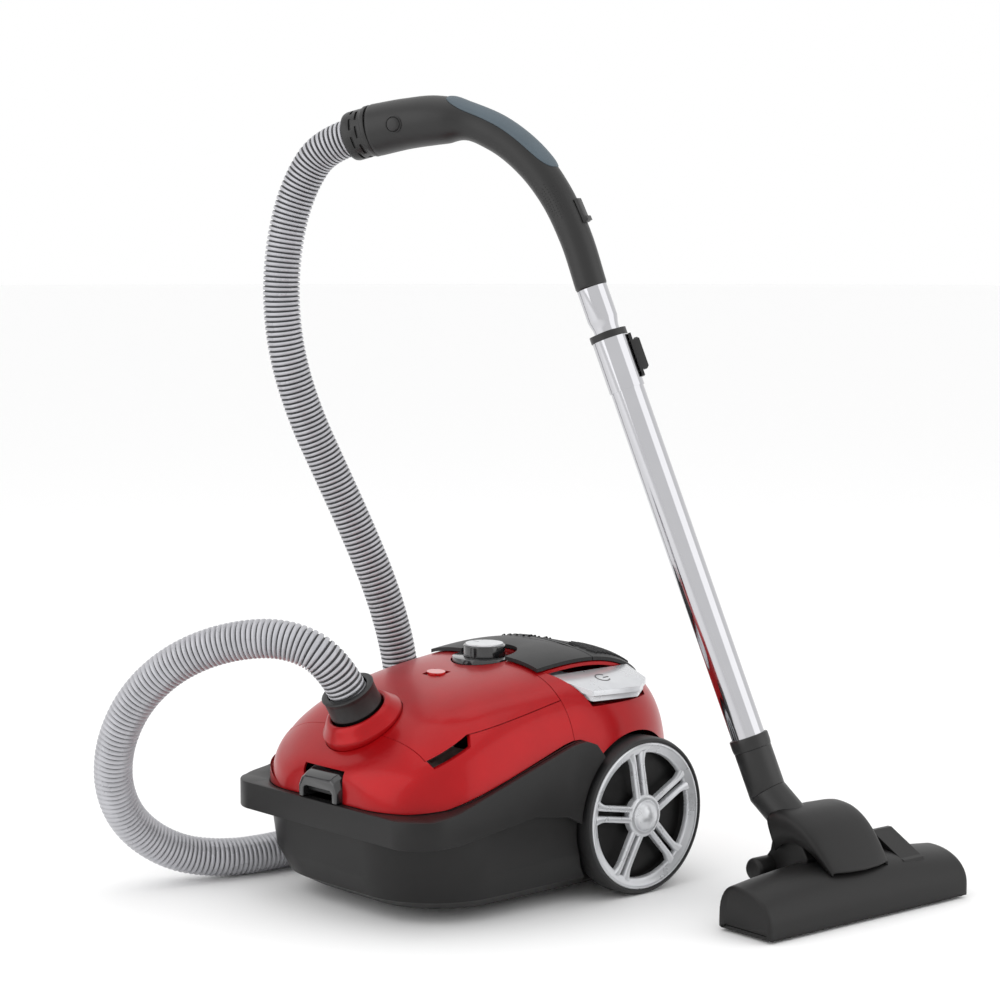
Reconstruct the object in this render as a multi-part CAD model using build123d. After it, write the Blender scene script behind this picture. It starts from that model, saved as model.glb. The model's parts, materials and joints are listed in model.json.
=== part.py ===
"""Canister vacuum cleaner: canister, hose, telescopic wand and floor head.

Everything is laid out from the canister's rear axle: x across (plus is the side
where the wand stands), y along (minus is the front), z up from the floor. The
parts are moved by ROW_SHIFT as they are written, so that the stored origin is
under the middle of the whole assembly without its hose. Units are millimetres.
"""
from build123d import *
import math
import os

# ---------------------------------------------------------------- driving sizes
ROW_SHIFT = (-108.5, 32.0, 0.0)   # from the rear axle middle to the stored origin

WALL = 3.0              # moulded wall of the big shells
SEAM = 0.6              # gap left between neighbouring shells
FIT = 0.05              # radial running clearance of a shaft in its hole

BASE_Z = 100.0          # height where the upper shell's sections start
SQUARENESS = 3.2        # exponent of the upper shell's rounded sections
ARCH_STEPS = 12         # spline spans across one section
# stations of the upper shell: y, half width, crown height
STATIONS = [
    (-297.0, 60.0, 141.0),
    (-285.0, 103.0, 160.0),
    (-262.0, 129.0, 178.0),
    (-225.0, 144.0, 202.0),
    (-170.0, 148.0, 223.0),
    (-92.0, 148.0, 237.0),
    (0.0, 147.0, 242.0),
    (50.0, 130.0, 231.0),
    (85.0, 102.0, 204.0),
    (108.0, 60.0, 164.0),
]
# levels of the lower tub: z, half width, front reach, rear reach, corner radius
TUB_LEVELS = [
    (13.0, 118.0, 256.0, 92.0, 76.0),
    (25.0, 136.0, 278.0, 104.0, 84.0),
    (50.0, 145.0, 290.0, 111.0, 88.0),
    (100.0, 148.0, 297.0, 114.0, 90.0),
    (175.0, 148.0, 297.0, 114.0, 90.0),
]
# the belt line seen from the side: y, z
BELT_LINE = [(-340, 117), (-280, 117), (-250, 121.5), (-100, 167), (-88, 169.5), (-78, 169.5),
             (-66, 165), (-36, 129), (-24, 122), (150, 122)]
SHOULDER_Y = -86.0      # seam between the front covers and the rear cover
LID_FRONT_Y = -255.0    # front edge of the lid

WHEEL_R = 82.0
WHEEL_IN = 130.0        # inner face of a tyre
WHEEL_OUT = 160.0       # outer face of a tyre
AXLE_Z = WHEEL_R
AXLE_R = 5.0
ARCH_CLEARANCE = 5.0

INLET = Vector(0.0, -247.0, 193.0)
INLET_AXIS = Vector(0.0, -0.5, 0.8660254)
INLET_RING_R = 43.0
INLET_BORE_R = 28.5

KNOB = Vector(0.0, -82.0, 239.0)
KNOB_R = 22.0
BEZEL_R = 34.0

DECK_TOP = 5.0           # the deck's faces above the red cover's
DECK_BOTTOM = 1.2
GRILLE_SLOTS = 8
GRILLE_PITCH = 7.6
GRILLE_SLANT = -14.0
CASTER_Y = -190.0
CASTER_WELL_R = 27.0
CORD_EXIT = (62.0, 60.0)     # x and z of the mains cord's gland in the rear wall
SPOKE_START = 8.0

HOSE_R = 20.0
HOSE_ROUTE = [
    (0.0, -260.0, 215.5),
    (0.0, -283.0, 255.3),
    (-36.0, -314.0, 279.0),
    (-86.0, -350.0, 273.0),
    (-130.0, -384.0, 250.0),
    (-167.0, -407.0, 211.0),
    (-192.0, -417.0, 162.0),
    (-208.0, -410.0, 111.0),
    (-215.0, -383.0, 65.0),
    (-205.0, -337.0, 31.0),
    (-187.0, -284.0, 20.0),
    (-179.0, -226.0, 20.0),
    (-188.0, -166.0, 20.0),
    (-201.0, -110.0, 24.0),
    (-208.0, -64.0, 54.0),
    (-206.0, -34.0, 103.0),
    (-201.0, -25.0, 161.0),
    (-201.0, -37.0, 223.0),
    (-208.0, -59.0, 288.0),
    (-219.0, -87.0, 354.0),
    (-230.0, -114.0, 418.0),
    (-239.0, -143.0, 482.0),
    (-244.0, -165.0, 548.0),
    (-245.0, -174.0, 616.0),
    (-239.0, -168.0, 684.0),
    (-222.0, -157.0, 737.0),
    (-189.0, -140.3, 773.5),
    (-153.8, -123.7, 783.0),
]

WAND_AXIS = Vector(-0.3209, -0.1519, 0.9348).normalized()
SLEEVE_TOP = Vector(243.5, 64.4, 165.0)
HANDLE_SEAM = Vector(85.9, -10.2, 624.0)
LOWER_R = 17.5
LOWER_BORE_R = 16.2
COLLAR_R = 18.7
COLLAR_LENGTH = 55.0
LOWER_VISIBLE = 435.0   # from the sleeve's top to the collar's top
LOWER_INSERT = 42.0     # inside the sleeve
UPPER_R = 13.4
UPPER_BORE_R = 12.2
UPPER_INSERT = 372.0
SOCKET_R = 15.9
HANDLE_SIDE = Vector(-0.904, -0.428, 0.0).normalized()
# stations of the handle: distance along HANDLE_SIDE, height, radius
HANDLE_STATIONS = [
    (0.0, 624.0, 16.6),
    (18.5, 677.0, 17.0),
    (40.0, 719.0, 17.6),
    (67.0, 753.0, 18.4),
    (106.0, 782.0, 18.6),
    (140.0, 795.0, 19.6),
    (158.0, 797.0, 24.0),
    (172.0, 797.0, 25.6),
    (207.0, 794.0, 26.6),
    (245.5, 787.5, 27.6),
]
HANDLE_WALL = 3.0
CUFF_SLOPE = math.radians(13.8)
CUFF_LENGTH = 28.0

SLEEVE_LENGTH = 54.6
MITRE = SLEEVE_TOP - WAND_AXIS * SLEEVE_LENGTH
ELBOW_KNEE = Vector(308.0, 79.0, 74.0)
HEAD_CENTRE = Vector(341.5, 96.0, 0.0)
HEAD_TURN = -2.55       # degrees about z
HEAD_HALF = 143.0
HEAD_DEPTH = 84.0
HEAD_HEIGHT = 50.0
HEAD_CLEAR = 3.0        # shell edge above the floor
ROLLER_X = 6 - HEAD_DEPTH / 2
ROLLER_Y = 111.0        # middle of each roller, either side of the head's middle
ROLLER_Z = 8.0
BRUSH_XS = (-8.0, 25.0)   # back face of each brush strip
BRUSH_WIDTH = 3.0
BRUSH_HALF = 124.0
SPRING_TURNS = 3
SPRING_HEIGHT = 5.2
PIVOT_X = -8.0          # tilt pin, from the head's middle
PIVOT_Z = 36.0
NECK_R = 19.5

PARTS = {}


# ---------------------------------------------------------------- small helpers
def rod(start, direction, length, radius, bore=0.0):
    """A round bar or tube that starts at a point and runs along a direction."""
    plane = Plane(origin=start, z_dir=direction)
    shape = extrude(plane * Circle(radius), length)
    if bore > 0:
        shape -= extrude(plane * Circle(bore), length)
    return shape


def turned(start, direction, profile):
    """A solid of revolution; the profile is a closed list of (radius, distance)."""
    face = Plane.XZ * make_face(Polyline(*profile, close=True))
    solid = revolve(face, Axis.Z)
    return Plane(origin=start, z_dir=direction).location * solid


def side_prism(outline, half=220.0):
    """A prism across the machine from a closed wire drawn in y and z."""
    return extrude(Plane.YZ * make_face(outline), half, both=True)


def side_polygon(points, half=220.0):
    return side_prism(Polyline(*points, close=True), half)


def block(low, high):
    size = [high[i] - low[i] for i in range(3)]
    middle = [(high[i] + low[i]) / 2 for i in range(3)]
    return Pos(*middle) * Box(*size)


def mirrored(shape):
    return mirror(shape, about=Plane.YZ)


def save(name, shape):
    PARTS[name] = shape.moved(Location(ROW_SHIFT))


# ---------------------------------------------------------------- body envelopes
def arch_face(y, half, top):
    """One rounded section of the upper shell, standing on the base height."""
    points = []
    for step in range(ARCH_STEPS + 1):
        angle = math.pi * step / ARCH_STEPS
        cosine = math.cos(angle)
        sine = abs(math.sin(angle))
        x = half * math.copysign(abs(cosine) ** (2 / SQUARENESS), cosine)
        z = BASE_Z + (top - BASE_Z) * sine ** (2 / SQUARENESS)
        points.append((x, z))
    points[0] = (half, BASE_Z)
    points[-1] = (-half, BASE_Z)
    arch = Spline(*points, tangents=[(0, 1), (0, -1)])
    face = make_face([arch, Line(points[-1], points[0])])
    plane = Plane(origin=(0, y, 0), x_dir=(1, 0, 0), z_dir=(0, -1, 0))
    return plane * face


def upper_envelope(inset):
    """The upper body's outer form, or its inside when inset by the wall."""
    first, last = STATIONS[0][0], STATIONS[-1][0]
    faces = []
    for y, half, top in STATIONS:
        place = min(max(y, first + inset), last - inset)
        faces.append(arch_face(place, half - inset, top - inset))
    return loft(faces)


def tub_envelope(inset):
    """The lower tub's outer form, or its inside when inset by the wall."""
    faces = []
    for z, half, front, rear, radius in TUB_LEVELS:
        length = front + rear - 2 * inset
        section = RectangleRounded(2 * (half - inset), length, radius - inset)
        floor = z + inset if z == TUB_LEVELS[0][0] else z
        faces.append(Pos(0, (rear - front) / 2, floor) * section)
    return loft(faces, ruled=True)


def belt_wire(lift, bottom=False):
    """The closed side outline of what lies above the belt line, or below it."""
    lifted = [(y, z + lift) for y, z in BELT_LINE]
    far = -40 if bottom else 400
    return Polyline(*lifted, (BELT_LINE[-1][0], far), (BELT_LINE[0][0], far), close=True)


def wheel_space(radius, inner):
    """Room for both rear wheels, outward from the given distance."""
    left = rod((inner, 0, AXLE_Z), (1, 0, 0), 80, radius)
    return left + mirrored(left)


def lid_region(grow):
    """Everything over the lid's outline, seen from the side."""
    front = LID_FRONT_Y - grow
    rear = SHOULDER_Y + grow
    points = [(front, 166 - grow), (-209, 188 - grow), (rear, 208 - grow), (rear, 330), (front, 330)]
    return side_polygon(points)


def ring_space(radius):
    start = INLET - INLET_AXIS * 60
    return rod(start, INLET_AXIS, 120, radius)


def bezel_space(radius):
    return rod((KNOB.X, KNOB.Y, 180), (0, 0, 1), 100, radius)


def pedal_outline(grow):
    """Plan of the left pedal, seen from above."""
    points = [(86, -74), (132, -50), (137, 12), (122, 36), (86, 42)]
    return offset(make_face(Polyline(*points, close=True)), grow, kind=Kind.INTERSECTION)


def pedal_prism(grow, low, high):
    left = extrude(Pos(0, 0, low) * pedal_outline(grow), high - low)
    return left + mirrored(left)


# ---------------------------------------------------------------- canister shells
def make_tub():
    outer = tub_envelope(0)
    wells = outer & (wheel_space(WHEEL_R + ARCH_CLEARANCE + WALL, WHEEL_IN - 8))
    shell = outer - tub_envelope(WALL)
    shell += wells
    shell -= wheel_space(WHEEL_R + ARCH_CLEARANCE, WHEEL_IN - 4)
    shell -= side_prism(belt_wire(0))
    axle_boss = rod((112, 0, AXLE_Z), (1, 0, 0), 12, 12)
    bosses = axle_boss + mirrored(axle_boss)
    shell += bosses
    stub_hole = rod((112, 0, AXLE_Z), (1, 0, 0), 30, AXLE_R)
    shell -= stub_hole + mirrored(stub_hole)
    caster_well = Pos(0, CASTER_Y, TUB_LEVELS[0][0] + 13) * Cylinder(CASTER_WELL_R + WALL, 26)
    shell += caster_well
    shell -= Pos(0, CASTER_Y, TUB_LEVELS[0][0] + 10.5) * Cylinder(CASTER_WELL_R, 25)
    shell -= rod((0, CASTER_Y, 30), (0, 0, 1), 20, 4 + FIT)
    shell -= rod((CORD_EXIT[0], 90, CORD_EXIT[1]), (0, 1, 0), 60, 12)
    save("chassis_tub", shell)


def rail_ring(grow, thickness_top):
    half, front, radius = 156.0 - grow, 305.0 - grow, 40.0 - grow
    length = front - 20
    face = Pos(0, -(front + 20) / 2) * RectangleRounded(2 * half, length + 40, radius)
    return extrude(Pos(0, 20, 60) * face, thickness_top)


def make_belt_rail():
    """Front carrying bar and the belt that runs back from it to the wheels."""
    band = rail_ring(0, 140)
    upper_level = TUB_LEVELS[3]
    length = upper_level[2] + upper_level[3]
    body = RectangleRounded(2 * upper_level[1] + 0.6, length + 0.6, upper_level[4])
    body_post = extrude(Pos(0, (upper_level[3] - upper_level[2]) / 2, 0) * body, 300)
    band -= body_post
    band -= side_prism(belt_wire(0))
    under = [(-340, 88), (-250, 90), (-150, 103), (-104, 96), (-60, 70), (60, 70), (60, 20), (-340, 20)]
    band -= side_polygon(under)
    band -= side_polygon([(-20, 0), (-20, 300), (100, 300), (100, 0)])
    hollow = rail_ring(WALL, 140)
    hollow -= extrude(Pos(0, (upper_level[3] - upper_level[2]) / 2, 0) * offset(body, WALL - 0.5), 300)
    hollow &= side_prism(belt_wire(-WALL - 1, bottom=True))
    band -= hollow
    band -= wheel_space(WHEEL_R + ARCH_CLEARANCE, WHEEL_IN - 8)
    save("belt_rail", band)


def red_shell():
    return upper_envelope(0) - upper_envelope(WALL)


def make_covers():
    shell = red_shell() & side_prism(belt_wire(SEAM))
    front_part = side_polygon([(-340, 0), (SHOULDER_Y - SEAM / 2, 0), (SHOULDER_Y - SEAM / 2, 330), (-340, 330)])
    rear_part = side_polygon([(SHOULDER_Y + SEAM / 2, 0), (140, 0), (140, 330), (SHOULDER_Y + SEAM / 2, 330)])
    lid = (red_shell() & lid_region(-SEAM)) - ring_space(INLET_RING_R + SEAM) - bezel_space(BEZEL_R + 1.5)
    lid -= block((-13, -157, 180), (13, -139, 260))
    front = (shell & front_part) - lid_region(0) - ring_space(INLET_RING_R + SEAM)
    front -= block((-31.5, -320, 60), (31.5, -268, 150))
    notch = side_polygon([(-252, 160), (-212, 178), (-205, 190), (-254, 168)])
    front -= notch
    rear = (shell & rear_part) - bezel_space(BEZEL_R + SEAM)
    rear -= wheel_space(WHEEL_R + ARCH_CLEARANCE, WHEEL_IN - 8)
    rear -= pedal_prism(1.5, 196, 300)
    rear -= block((-62, 8, 190), (62, 70, 300))
    shelf = pedal_prism(1.5, 196.0, 199.0) & upper_envelope(0)
    save("front_cover", front)
    save("lid", lid)
    save("rear_cover", rear + shelf)


def make_deck():
    """Black top deck with its exhaust grille, standing just proud of the red cover."""
    raised = upper_envelope(0).moved(Location((0, 0, DECK_TOP)))
    lower = upper_envelope(0).moved(Location((0, 0, DECK_BOTTOM)))
    front_plan = Polyline((-84, -84), (84, -84), (84, -6), (-84, -6), close=True)
    rear_plan = Polyline((-84, -5), (84, -5), (84, 46), (66, 84), (-66, 84), (-84, 46), close=True)
    deck = (raised & extrude(Pos(0, 0, 150) * make_face(front_plan), 150)) - lower
    deck -= bezel_space(BEZEL_R + SEAM)
    grille = (raised & extrude(Pos(0, 0, 150) * make_face(rear_plan), 150)) - lower
    for index in range(GRILLE_SLOTS):
        y = 6 + index * GRILLE_PITCH
        slot = Pos(0, y, 220) * Rot(0, 0, GRILLE_SLANT) * Box(104, 3.2, 120)
        grille -= slot
    save("top_deck", deck)
    save("exhaust_grille", grille)




def make_inlet():
    ring = [(INLET_BORE_R, -10), (INLET_RING_R, -10), (INLET_RING_R, 0), (INLET_RING_R - 2, 2),
            (33.5, 12), (31.0, 13), (INLET_BORE_R, 11.5)]
    save("inlet_ring", turned(INLET, INLET_AXIS, ring))
    seal = [(26.4, -13.5), (34, -13.5), (34, -10.2), (26.4, -10.2)]
    save("inlet_seal", turned(INLET, INLET_AXIS, seal))


def make_indicator():
    window = Pos(0, -148, 226.5) * Rot(7, 0, 0) * Ellipse(12, 7.5)
    lens = extrude(window, 3.4)
    save("bag_indicator", lens)


def make_latch():
    """Black recess under the front cover, and the catch that slides up in it."""
    housing = block((-31, -304, 118), (31, -270, 149.5))
    housing = fillet(housing.edges().filter_by(Axis.Y).group_by(Axis.Z)[-1], 8)
    housing -= block((-27, -330, 121), (27, -276, 139))
    housing -= side_polygon([(-310, 139), (-285, 152), (-310, 152)], 40)
    save("latch_housing", housing)
    catch = block((-24, -297, 124), (24, -293, 134)) + block((-24, -293, 130), (24, -280, 134))
    save("lid_latch", catch)


# ---------------------------------------------------------------- controls
def make_controls():
    bezel = rod((KNOB.X, KNOB.Y, 229), (0, 0, 1), KNOB.Z - 229, BEZEL_R, 3 + FIT + 0.1)
    save("knob_bezel", bezel)
    knob = rod(KNOB + Vector(0, 0, 0.5), (0, 0, 1), 11.5, KNOB_R)
    knob = fillet(knob.edges().group_by(Axis.Z)[-1], 1.5)
    knob += rod(KNOB - Vector(0, 0, 27), (0, 0, 1), 28, 3)
    save("control_knob", knob)
    cap = rod(KNOB + Vector(0, 0, 12.1), (0, 0, 1), 1.4, KNOB_R - 2.2)
    cap -= Pos(-13, KNOB.Y, KNOB.Z + 13) * Box(9, 1.6, 4)
    save("knob_cap", cap)
    left = make_pedal()
    save("power_pedal", left)
    save("rewind_pedal", mirrored(left))
    spring = make_spring()
    save("pedal_springs", spring + mirrored(spring))
    board = block((-40, -108, 208), (40, -62, 209.6))
    board -= rod((KNOB.X, KNOB.Y, 200), (0, 0, 1), 20, 8)
    save("circuit_board", board)


def make_pedal():
    """Pedal plate: its top leans outward, with a smaller tier under it."""
    slab = extrude(Pos(0, 0, 190) * pedal_outline(0), 60)
    top = Plane(origin=(84, 0, 228), x_dir=(0.966, 0, -0.259), z_dir=(0.259, 0, 0.966))
    upper = slab & extrude(top * Rectangle(400, 400), -6)
    tier = extrude(Pos(0, 0, 190) * pedal_outline(-2.5), 60)
    lower = tier & extrude(top.offset(-6) * Rectangle(400, 400), -6)
    return upper + lower


def make_spring():
    """Return spring on its shelf, as short as it is when its pedal is pressed."""
    coil = Helix(pitch=SPRING_HEIGHT / SPRING_TURNS, height=SPRING_HEIGHT, radius=4.5)
    wire = Plane(origin=coil @ 0, z_dir=coil % 0) * Circle(0.6)
    return Pos(104, -12, 199.8) * sweep(wire, path=coil)


# ---------------------------------------------------------------- wheels
def make_wheel():
    """Left rear wheel: tyre, dark disc, bright rim with twin spokes, hub cap."""
    tyre = turned((0, 0, AXLE_Z), (1, 0, 0), [
        (76.5, WHEEL_IN), (80, WHEEL_IN), (WHEEL_R, WHEEL_IN + 4), (WHEEL_R, WHEEL_OUT - 5),
        (80.5, WHEEL_OUT - 1), (78.5, WHEEL_OUT), (76.5, WHEEL_OUT - 1)])
    disc = turned((0, 0, AXLE_Z), (1, 0, 0), [
        (AXLE_R + FIT, 132), (13, 132), (13, 138), (60, 138), (70, 134), (76.5, 134),
        (76.5, 149), (68, 149), (66, 143), (18, 143), (13, 149), (AXLE_R + FIT, 149)])
    rim = turned((0, 0, AXLE_Z), (1, 0, 0), [(68, 149), (76.5, 149), (76.5, 158.5), (74, 158.5), (68, 155)])
    hub = rod((149, 0, AXLE_Z), (1, 0, 0), 8, 20)
    spokes = []
    for index in range(5):
        bar = Pos(153, 0, AXLE_Z) * Rot(SPOKE_START + 72 * index, 0, 0) * Pos(0, 0, 42) * Box(7, 17, 58)
        slot = Pos(153, 0, AXLE_Z) * Rot(SPOKE_START + 72 * index, 0, 0) * Pos(0, 0, 46) * Box(20, 4.5, 36)
        spokes.append(bar - slot)
    for spoke in spokes:
        rim += spoke
    rim += hub
    rim -= rod((140, 0, AXLE_Z), (1, 0, 0), 30, 7.5)
    rim &= rod((140, 0, AXLE_Z), (1, 0, 0), 30, 76.5)
    cap = turned((0, 0, AXLE_Z), (1, 0, 0), [
        (0, 151), (7.4, 151), (7.4, 157.2), (15.5, 157.2), (15.5, 160), (12.5, 163.5), (7, 166), (0, 167)])
    return {"tyre": tyre, "wheel_disc": disc, "wheel_rim": rim + cap}




def make_wheels():
    for name, shape in make_wheel().items():
        save(name + "_left", shape)
        save(name + "_right", mirrored(shape))
    axle = rod((112, 0, AXLE_Z), (1, 0, 0), 38.5, AXLE_R)
    save("rear_axles", axle + mirrored(axle))


def make_caster():
    """Swivelling front caster in its well under the tub."""
    plate = rod((0, CASTER_Y, 21), (0, 0, 1), 4, 22)
    plate += rod((0, CASTER_Y, 25), (0, 0, 1), 15, 4)
    cheek = Pos(9.5, CASTER_Y + 8, 14.0) * Box(3, 14, 15)
    fork = plate + cheek + mirrored(cheek)
    fork -= rod((-20, CASTER_Y + 8, 9.6), (1, 0, 0), 40, 2 + FIT)
    save("caster_fork", fork)
    wheel = rod((-7, CASTER_Y + 8, 9.6), (1, 0, 0), 14, 9.6)
    wheel = fillet(wheel.edges().filter_by(GeomType.CIRCLE).group_by(SortBy.RADIUS)[-1], 2)
    wheel += rod((-11, CASTER_Y + 8, 9.6), (1, 0, 0), 22, 2)
    save("caster_wheel", wheel)


# ---------------------------------------------------------------- inside the canister
def make_internals():
    plate_at = INLET - INLET_AXIS * 40
    plate = Plane(origin=plate_at, z_dir=INLET_AXIS, x_dir=(1, 0, 0))
    card = extrude(plate * Rectangle(96, 70), 2.5)
    card -= rod(plate_at - INLET_AXIS * 10, INLET_AXIS, 30, 23)
    save("bag_plate", card)
    holder = extrude(plate.offset(2.6) * Rectangle(108, 80), 3)
    holder -= extrude(plate.offset(2.0) * Rectangle(78, 54), 6)
    save("bag_holder", holder)
    bag = fillet(Box(188, 110, 108).edges(), 26)
    save("dust_bag", Pos(0, -172, 98) * bag)
    room = tub_envelope(WALL) & block((-200, -106, 16), (200, -103, 160))
    room -= block((-48, -120, 50), (48, -90, 140))
    save("partition_wall", room)
    save("motor_filter", block((-54, -102.5, 44), (54, -92, 146)))
    motor_axis = Vector(0, 1, 0)
    start = Vector(-58, -72, 98)
    housing = rod(start, motor_axis, 118, 52, 48.5)
    housing += rod(start + motor_axis * 115, motor_axis, 3, 52, 8.05)
    housing += rod(start, motor_axis, 3, 52, 26)
    save("motor_housing", housing)
    shaft = rod(start + motor_axis * 8, motor_axis, 114, 4)
    armature = rod(start + motor_axis * 52, motor_axis, 46, 26)
    save("motor_rotor", shaft + armature)
    impeller = rod(start + motor_axis * 14, motor_axis, 3, 44, 4.02)
    for index in range(8):
        blade = Rot(0, index * 45, 0) * Pos(24, 0, 0) * Rot(0, 30, 0) * Box(34, 12, 2)
        impeller += Pos(start.X, start.Y + 23, start.Z) * blade
    impeller -= rod(start, motor_axis, 60, 4.02)
    save("fan_impeller", impeller)
    reel_axis = Vector(1, 0, 0)
    reel_at = Vector(30, 12, 104)
    reel = rod(reel_at, reel_axis, 4, 76, 6.05) + rod(reel_at + reel_axis * 48, reel_axis, 4, 76, 6.05)
    reel += rod(reel_at, reel_axis, 52, 30, 6.05)
    save("cord_reel", reel)
    save("cord_winding", rod(reel_at + reel_axis * 4.3, reel_axis, 43.4, 66, 30.3))
    pin = rod(reel_at - reel_axis * 8, reel_axis, 68, 6)
    pin += block((89, 2, 20), (92, 22, 116))
    save("reel_bracket", pin)
    save("exhaust_filter", block((-60, 10, 186.5), (60, 68, 199)))
    gland = turned((CORD_EXIT[0], 0, CORD_EXIT[1]), (0, 1, 0), [
        (5, 100), (10, 100), (10, 106), (11.9, 106), (11.9, 116), (15, 116), (15, 119), (5, 119)])
    save("cord_gland", gland)


# ---------------------------------------------------------------- hose and handle
def hose_arc_radii(points):
    """The largest arc for each corner: 0.45 of the shorter run over tan(half the turn)."""
    radii = []
    for index in range(1, len(points) - 1):
        before = points[index] - points[index - 1]
        after = points[index + 1] - points[index]
        turn = math.radians(before.get_angle(after))
        radii.append(0.45 * min(before.length, after.length) / math.tan(turn / 2))
    return radii


def make_hose():
    points = [Vector(*place) for place in HOSE_ROUTE]
    radii = hose_arc_radii(points)
    path = FilletPolyline(*points, radius=radii)
    start = Plane(origin=path @ 0, z_dir=path % 0)
    tube = sweep(start * Circle(HOSE_R), path=path)
    expected = math.pi * HOSE_R ** 2 * path.length
    print("hose length %.0f mm, volume ratio %.4f" % (path.length, tube.volume / expected))
    print("hose bend radii:", " ".join("%.0f" % radius for radius in radii))
    save("hose", tube)


def make_connector():
    """Ribbed sleeve that plugs into the inlet and turns there."""
    profile = [
        (22.5, -12), (26.0, -12), (26.0, 11.9), (27.6, 14.5), (27.2, 20), (27.2, 32), (28.2, 36.5),
        (26.5, 37.5), (21.6, 37.5), (21.6, 25.95), (17.5, 25.95), (17.5, 8), (22.5, 2)]
    sleeve = turned(INLET, INLET_AXIS, profile)
    plane = Plane(origin=INLET, z_dir=INLET_AXIS)
    for index in range(24):
        groove = plane.location * Rot(0, 0, 15 * index) * Pos(27.9, 0, 24) * Box(1.2, 1.6, 14)
        sleeve -= groove
    save("hose_connector", sleeve)


def handle_point(distance, height):
    return Vector(HANDLE_SEAM.X, HANDLE_SEAM.Y, 0) + HANDLE_SIDE * distance + Vector(0, 0, height)


def handle_frames(shrink):
    """Circles across the handle's curved line, each square to it."""
    centres = [handle_point(distance, height) for distance, height, _ in HANDLE_STATIONS]
    faces = []
    for index, (_, _, radius) in enumerate(HANDLE_STATIONS):
        if index == 0:
            tangent = WAND_AXIS
        elif index == len(HANDLE_STATIONS) - 1:
            tangent = cuff_direction()
        else:
            tangent = (centres[index + 1] - centres[index - 1]).normalized()
        faces.append(Plane(origin=centres[index], z_dir=tangent) * Circle(radius - shrink))
    return faces


def cuff_direction():
    return HANDLE_SIDE * math.cos(CUFF_SLOPE) - Vector(0, 0, math.sin(CUFF_SLOPE))


def make_handle():
    outer = loft(handle_frames(0), ruled=True)
    shell = outer - loft(handle_frames(HANDLE_WALL), ruled=True)
    shell -= rod(HANDLE_SEAM - WAND_AXIS, WAND_AXIS, 27, SOCKET_R - 1.0)
    grip_space = grip_band(0.4)
    slider_at = handle_slider_plane()
    track = slider_at.location * Box(15, 46, 3.4)
    save("handle_shell", shell - grip_space - track)
    save("grip_pad", (outer & grip_band(0)) - loft(handle_frames(1.6), ruled=True))
    slider = slider_at.location * Pos(0, 7, 1.9) * Box(13, 26, 3.2)
    slider += slider_at.location * Pos(0, -3, 4) * Box(13, 5, 4)
    save("suction_slider", slider)


def grip_band(grow):
    """Slice of the handle's top, where the soft pad sits."""
    frame = Plane(origin=handle_point(0, 0), x_dir=HANDLE_SIDE, z_dir=HANDLE_SIDE.cross(Vector(0, 0, 1)))
    points = [(62, 770), (70, 758), (108, 788), (148, 803), (150, 830), (60, 830)]
    outline = make_face(Polyline(*points, close=True))
    if grow > 0:
        outline = offset(outline, grow)
    return extrude(frame * outline, 60, both=True)


def handle_slider_plane():
    """Plane on the outer side of the handle, where the suction slider runs."""
    along = (handle_point(34, 708) - handle_point(14, 664)).normalized()
    outward = (HANDLE_SIDE * -1).cross(along).cross(along) * -1
    outward = outward.normalized()
    if outward.Z < 0:
        outward = outward * -1
    centre = handle_point(25, 689) + outward * 17.0
    return Plane(origin=centre, x_dir=along.cross(outward), z_dir=outward)


def make_cuff():
    """Slotted cuff that turns on the handle's end and holds the hose."""
    start = handle_point(245.5, 787.5) + cuff_direction() * 0.4
    profile = [
        (24.0, 0), (27.4, 0), (27.4, 4), (26.2, 6), (26.2, CUFF_LENGTH - 3), (25.2, CUFF_LENGTH),
        (21.2, CUFF_LENGTH), (21.2, 19.0), (17, 19.0), (17, 8), (24, 2)]
    cuff = turned(start, cuff_direction(), profile)
    plane = Plane(origin=start, z_dir=cuff_direction())
    for row in range(2):
        for index in range(8):
            turn = 45 * index + 22.5 * row
            slot = plane.location * Rot(0, 0, turn) * Pos(25.5, 0, 10 + 7 * row) * Box(3, 13, 2.6)
            cuff -= slot
    save("hose_cuff", cuff)


# ---------------------------------------------------------------- wand
def make_wand():
    top = SLEEVE_TOP + WAND_AXIS * LOWER_VISIBLE
    bottom = SLEEVE_TOP - WAND_AXIS * LOWER_INSERT
    lower = rod(bottom, WAND_AXIS, LOWER_INSERT + LOWER_VISIBLE, LOWER_R, LOWER_BORE_R)
    lower += rod(top - WAND_AXIS * COLLAR_LENGTH, WAND_AXIS, COLLAR_LENGTH, COLLAR_R, LOWER_BORE_R)
    save("lower_tube", lower)
    seal = rod(top + WAND_AXIS * 0.1, WAND_AXIS, 7, COLLAR_R + 0.8, UPPER_R + FIT)
    save("tube_seal", seal)
    visible = (HANDLE_SEAM - top).length
    upper_profile = [
        (UPPER_BORE_R, -UPPER_INSERT), (UPPER_R, -UPPER_INSERT), (UPPER_R, 12), (SOCKET_R, 22),
        (SOCKET_R, visible - 0.3), (SOCKET_R - 1.3, visible - 0.3), (SOCKET_R - 1.3, visible + 22),
        (UPPER_BORE_R, visible + 22)]
    save("upper_tube", turned(top, WAND_AXIS, upper_profile))
    button_plane = tube_button_plane(top)
    body = button_plane.location * Pos(0, 0, 1.6) * Box(16, 46, 3.0)
    shoulder = button_plane.location * Pos(0, 0, 6.4) * Box(12, 34, 7)
    shoulder = chamfer(shoulder.edges().filter_by(lambda e: e.length < 13), 2)
    save("tube_button", body + shoulder)


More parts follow.
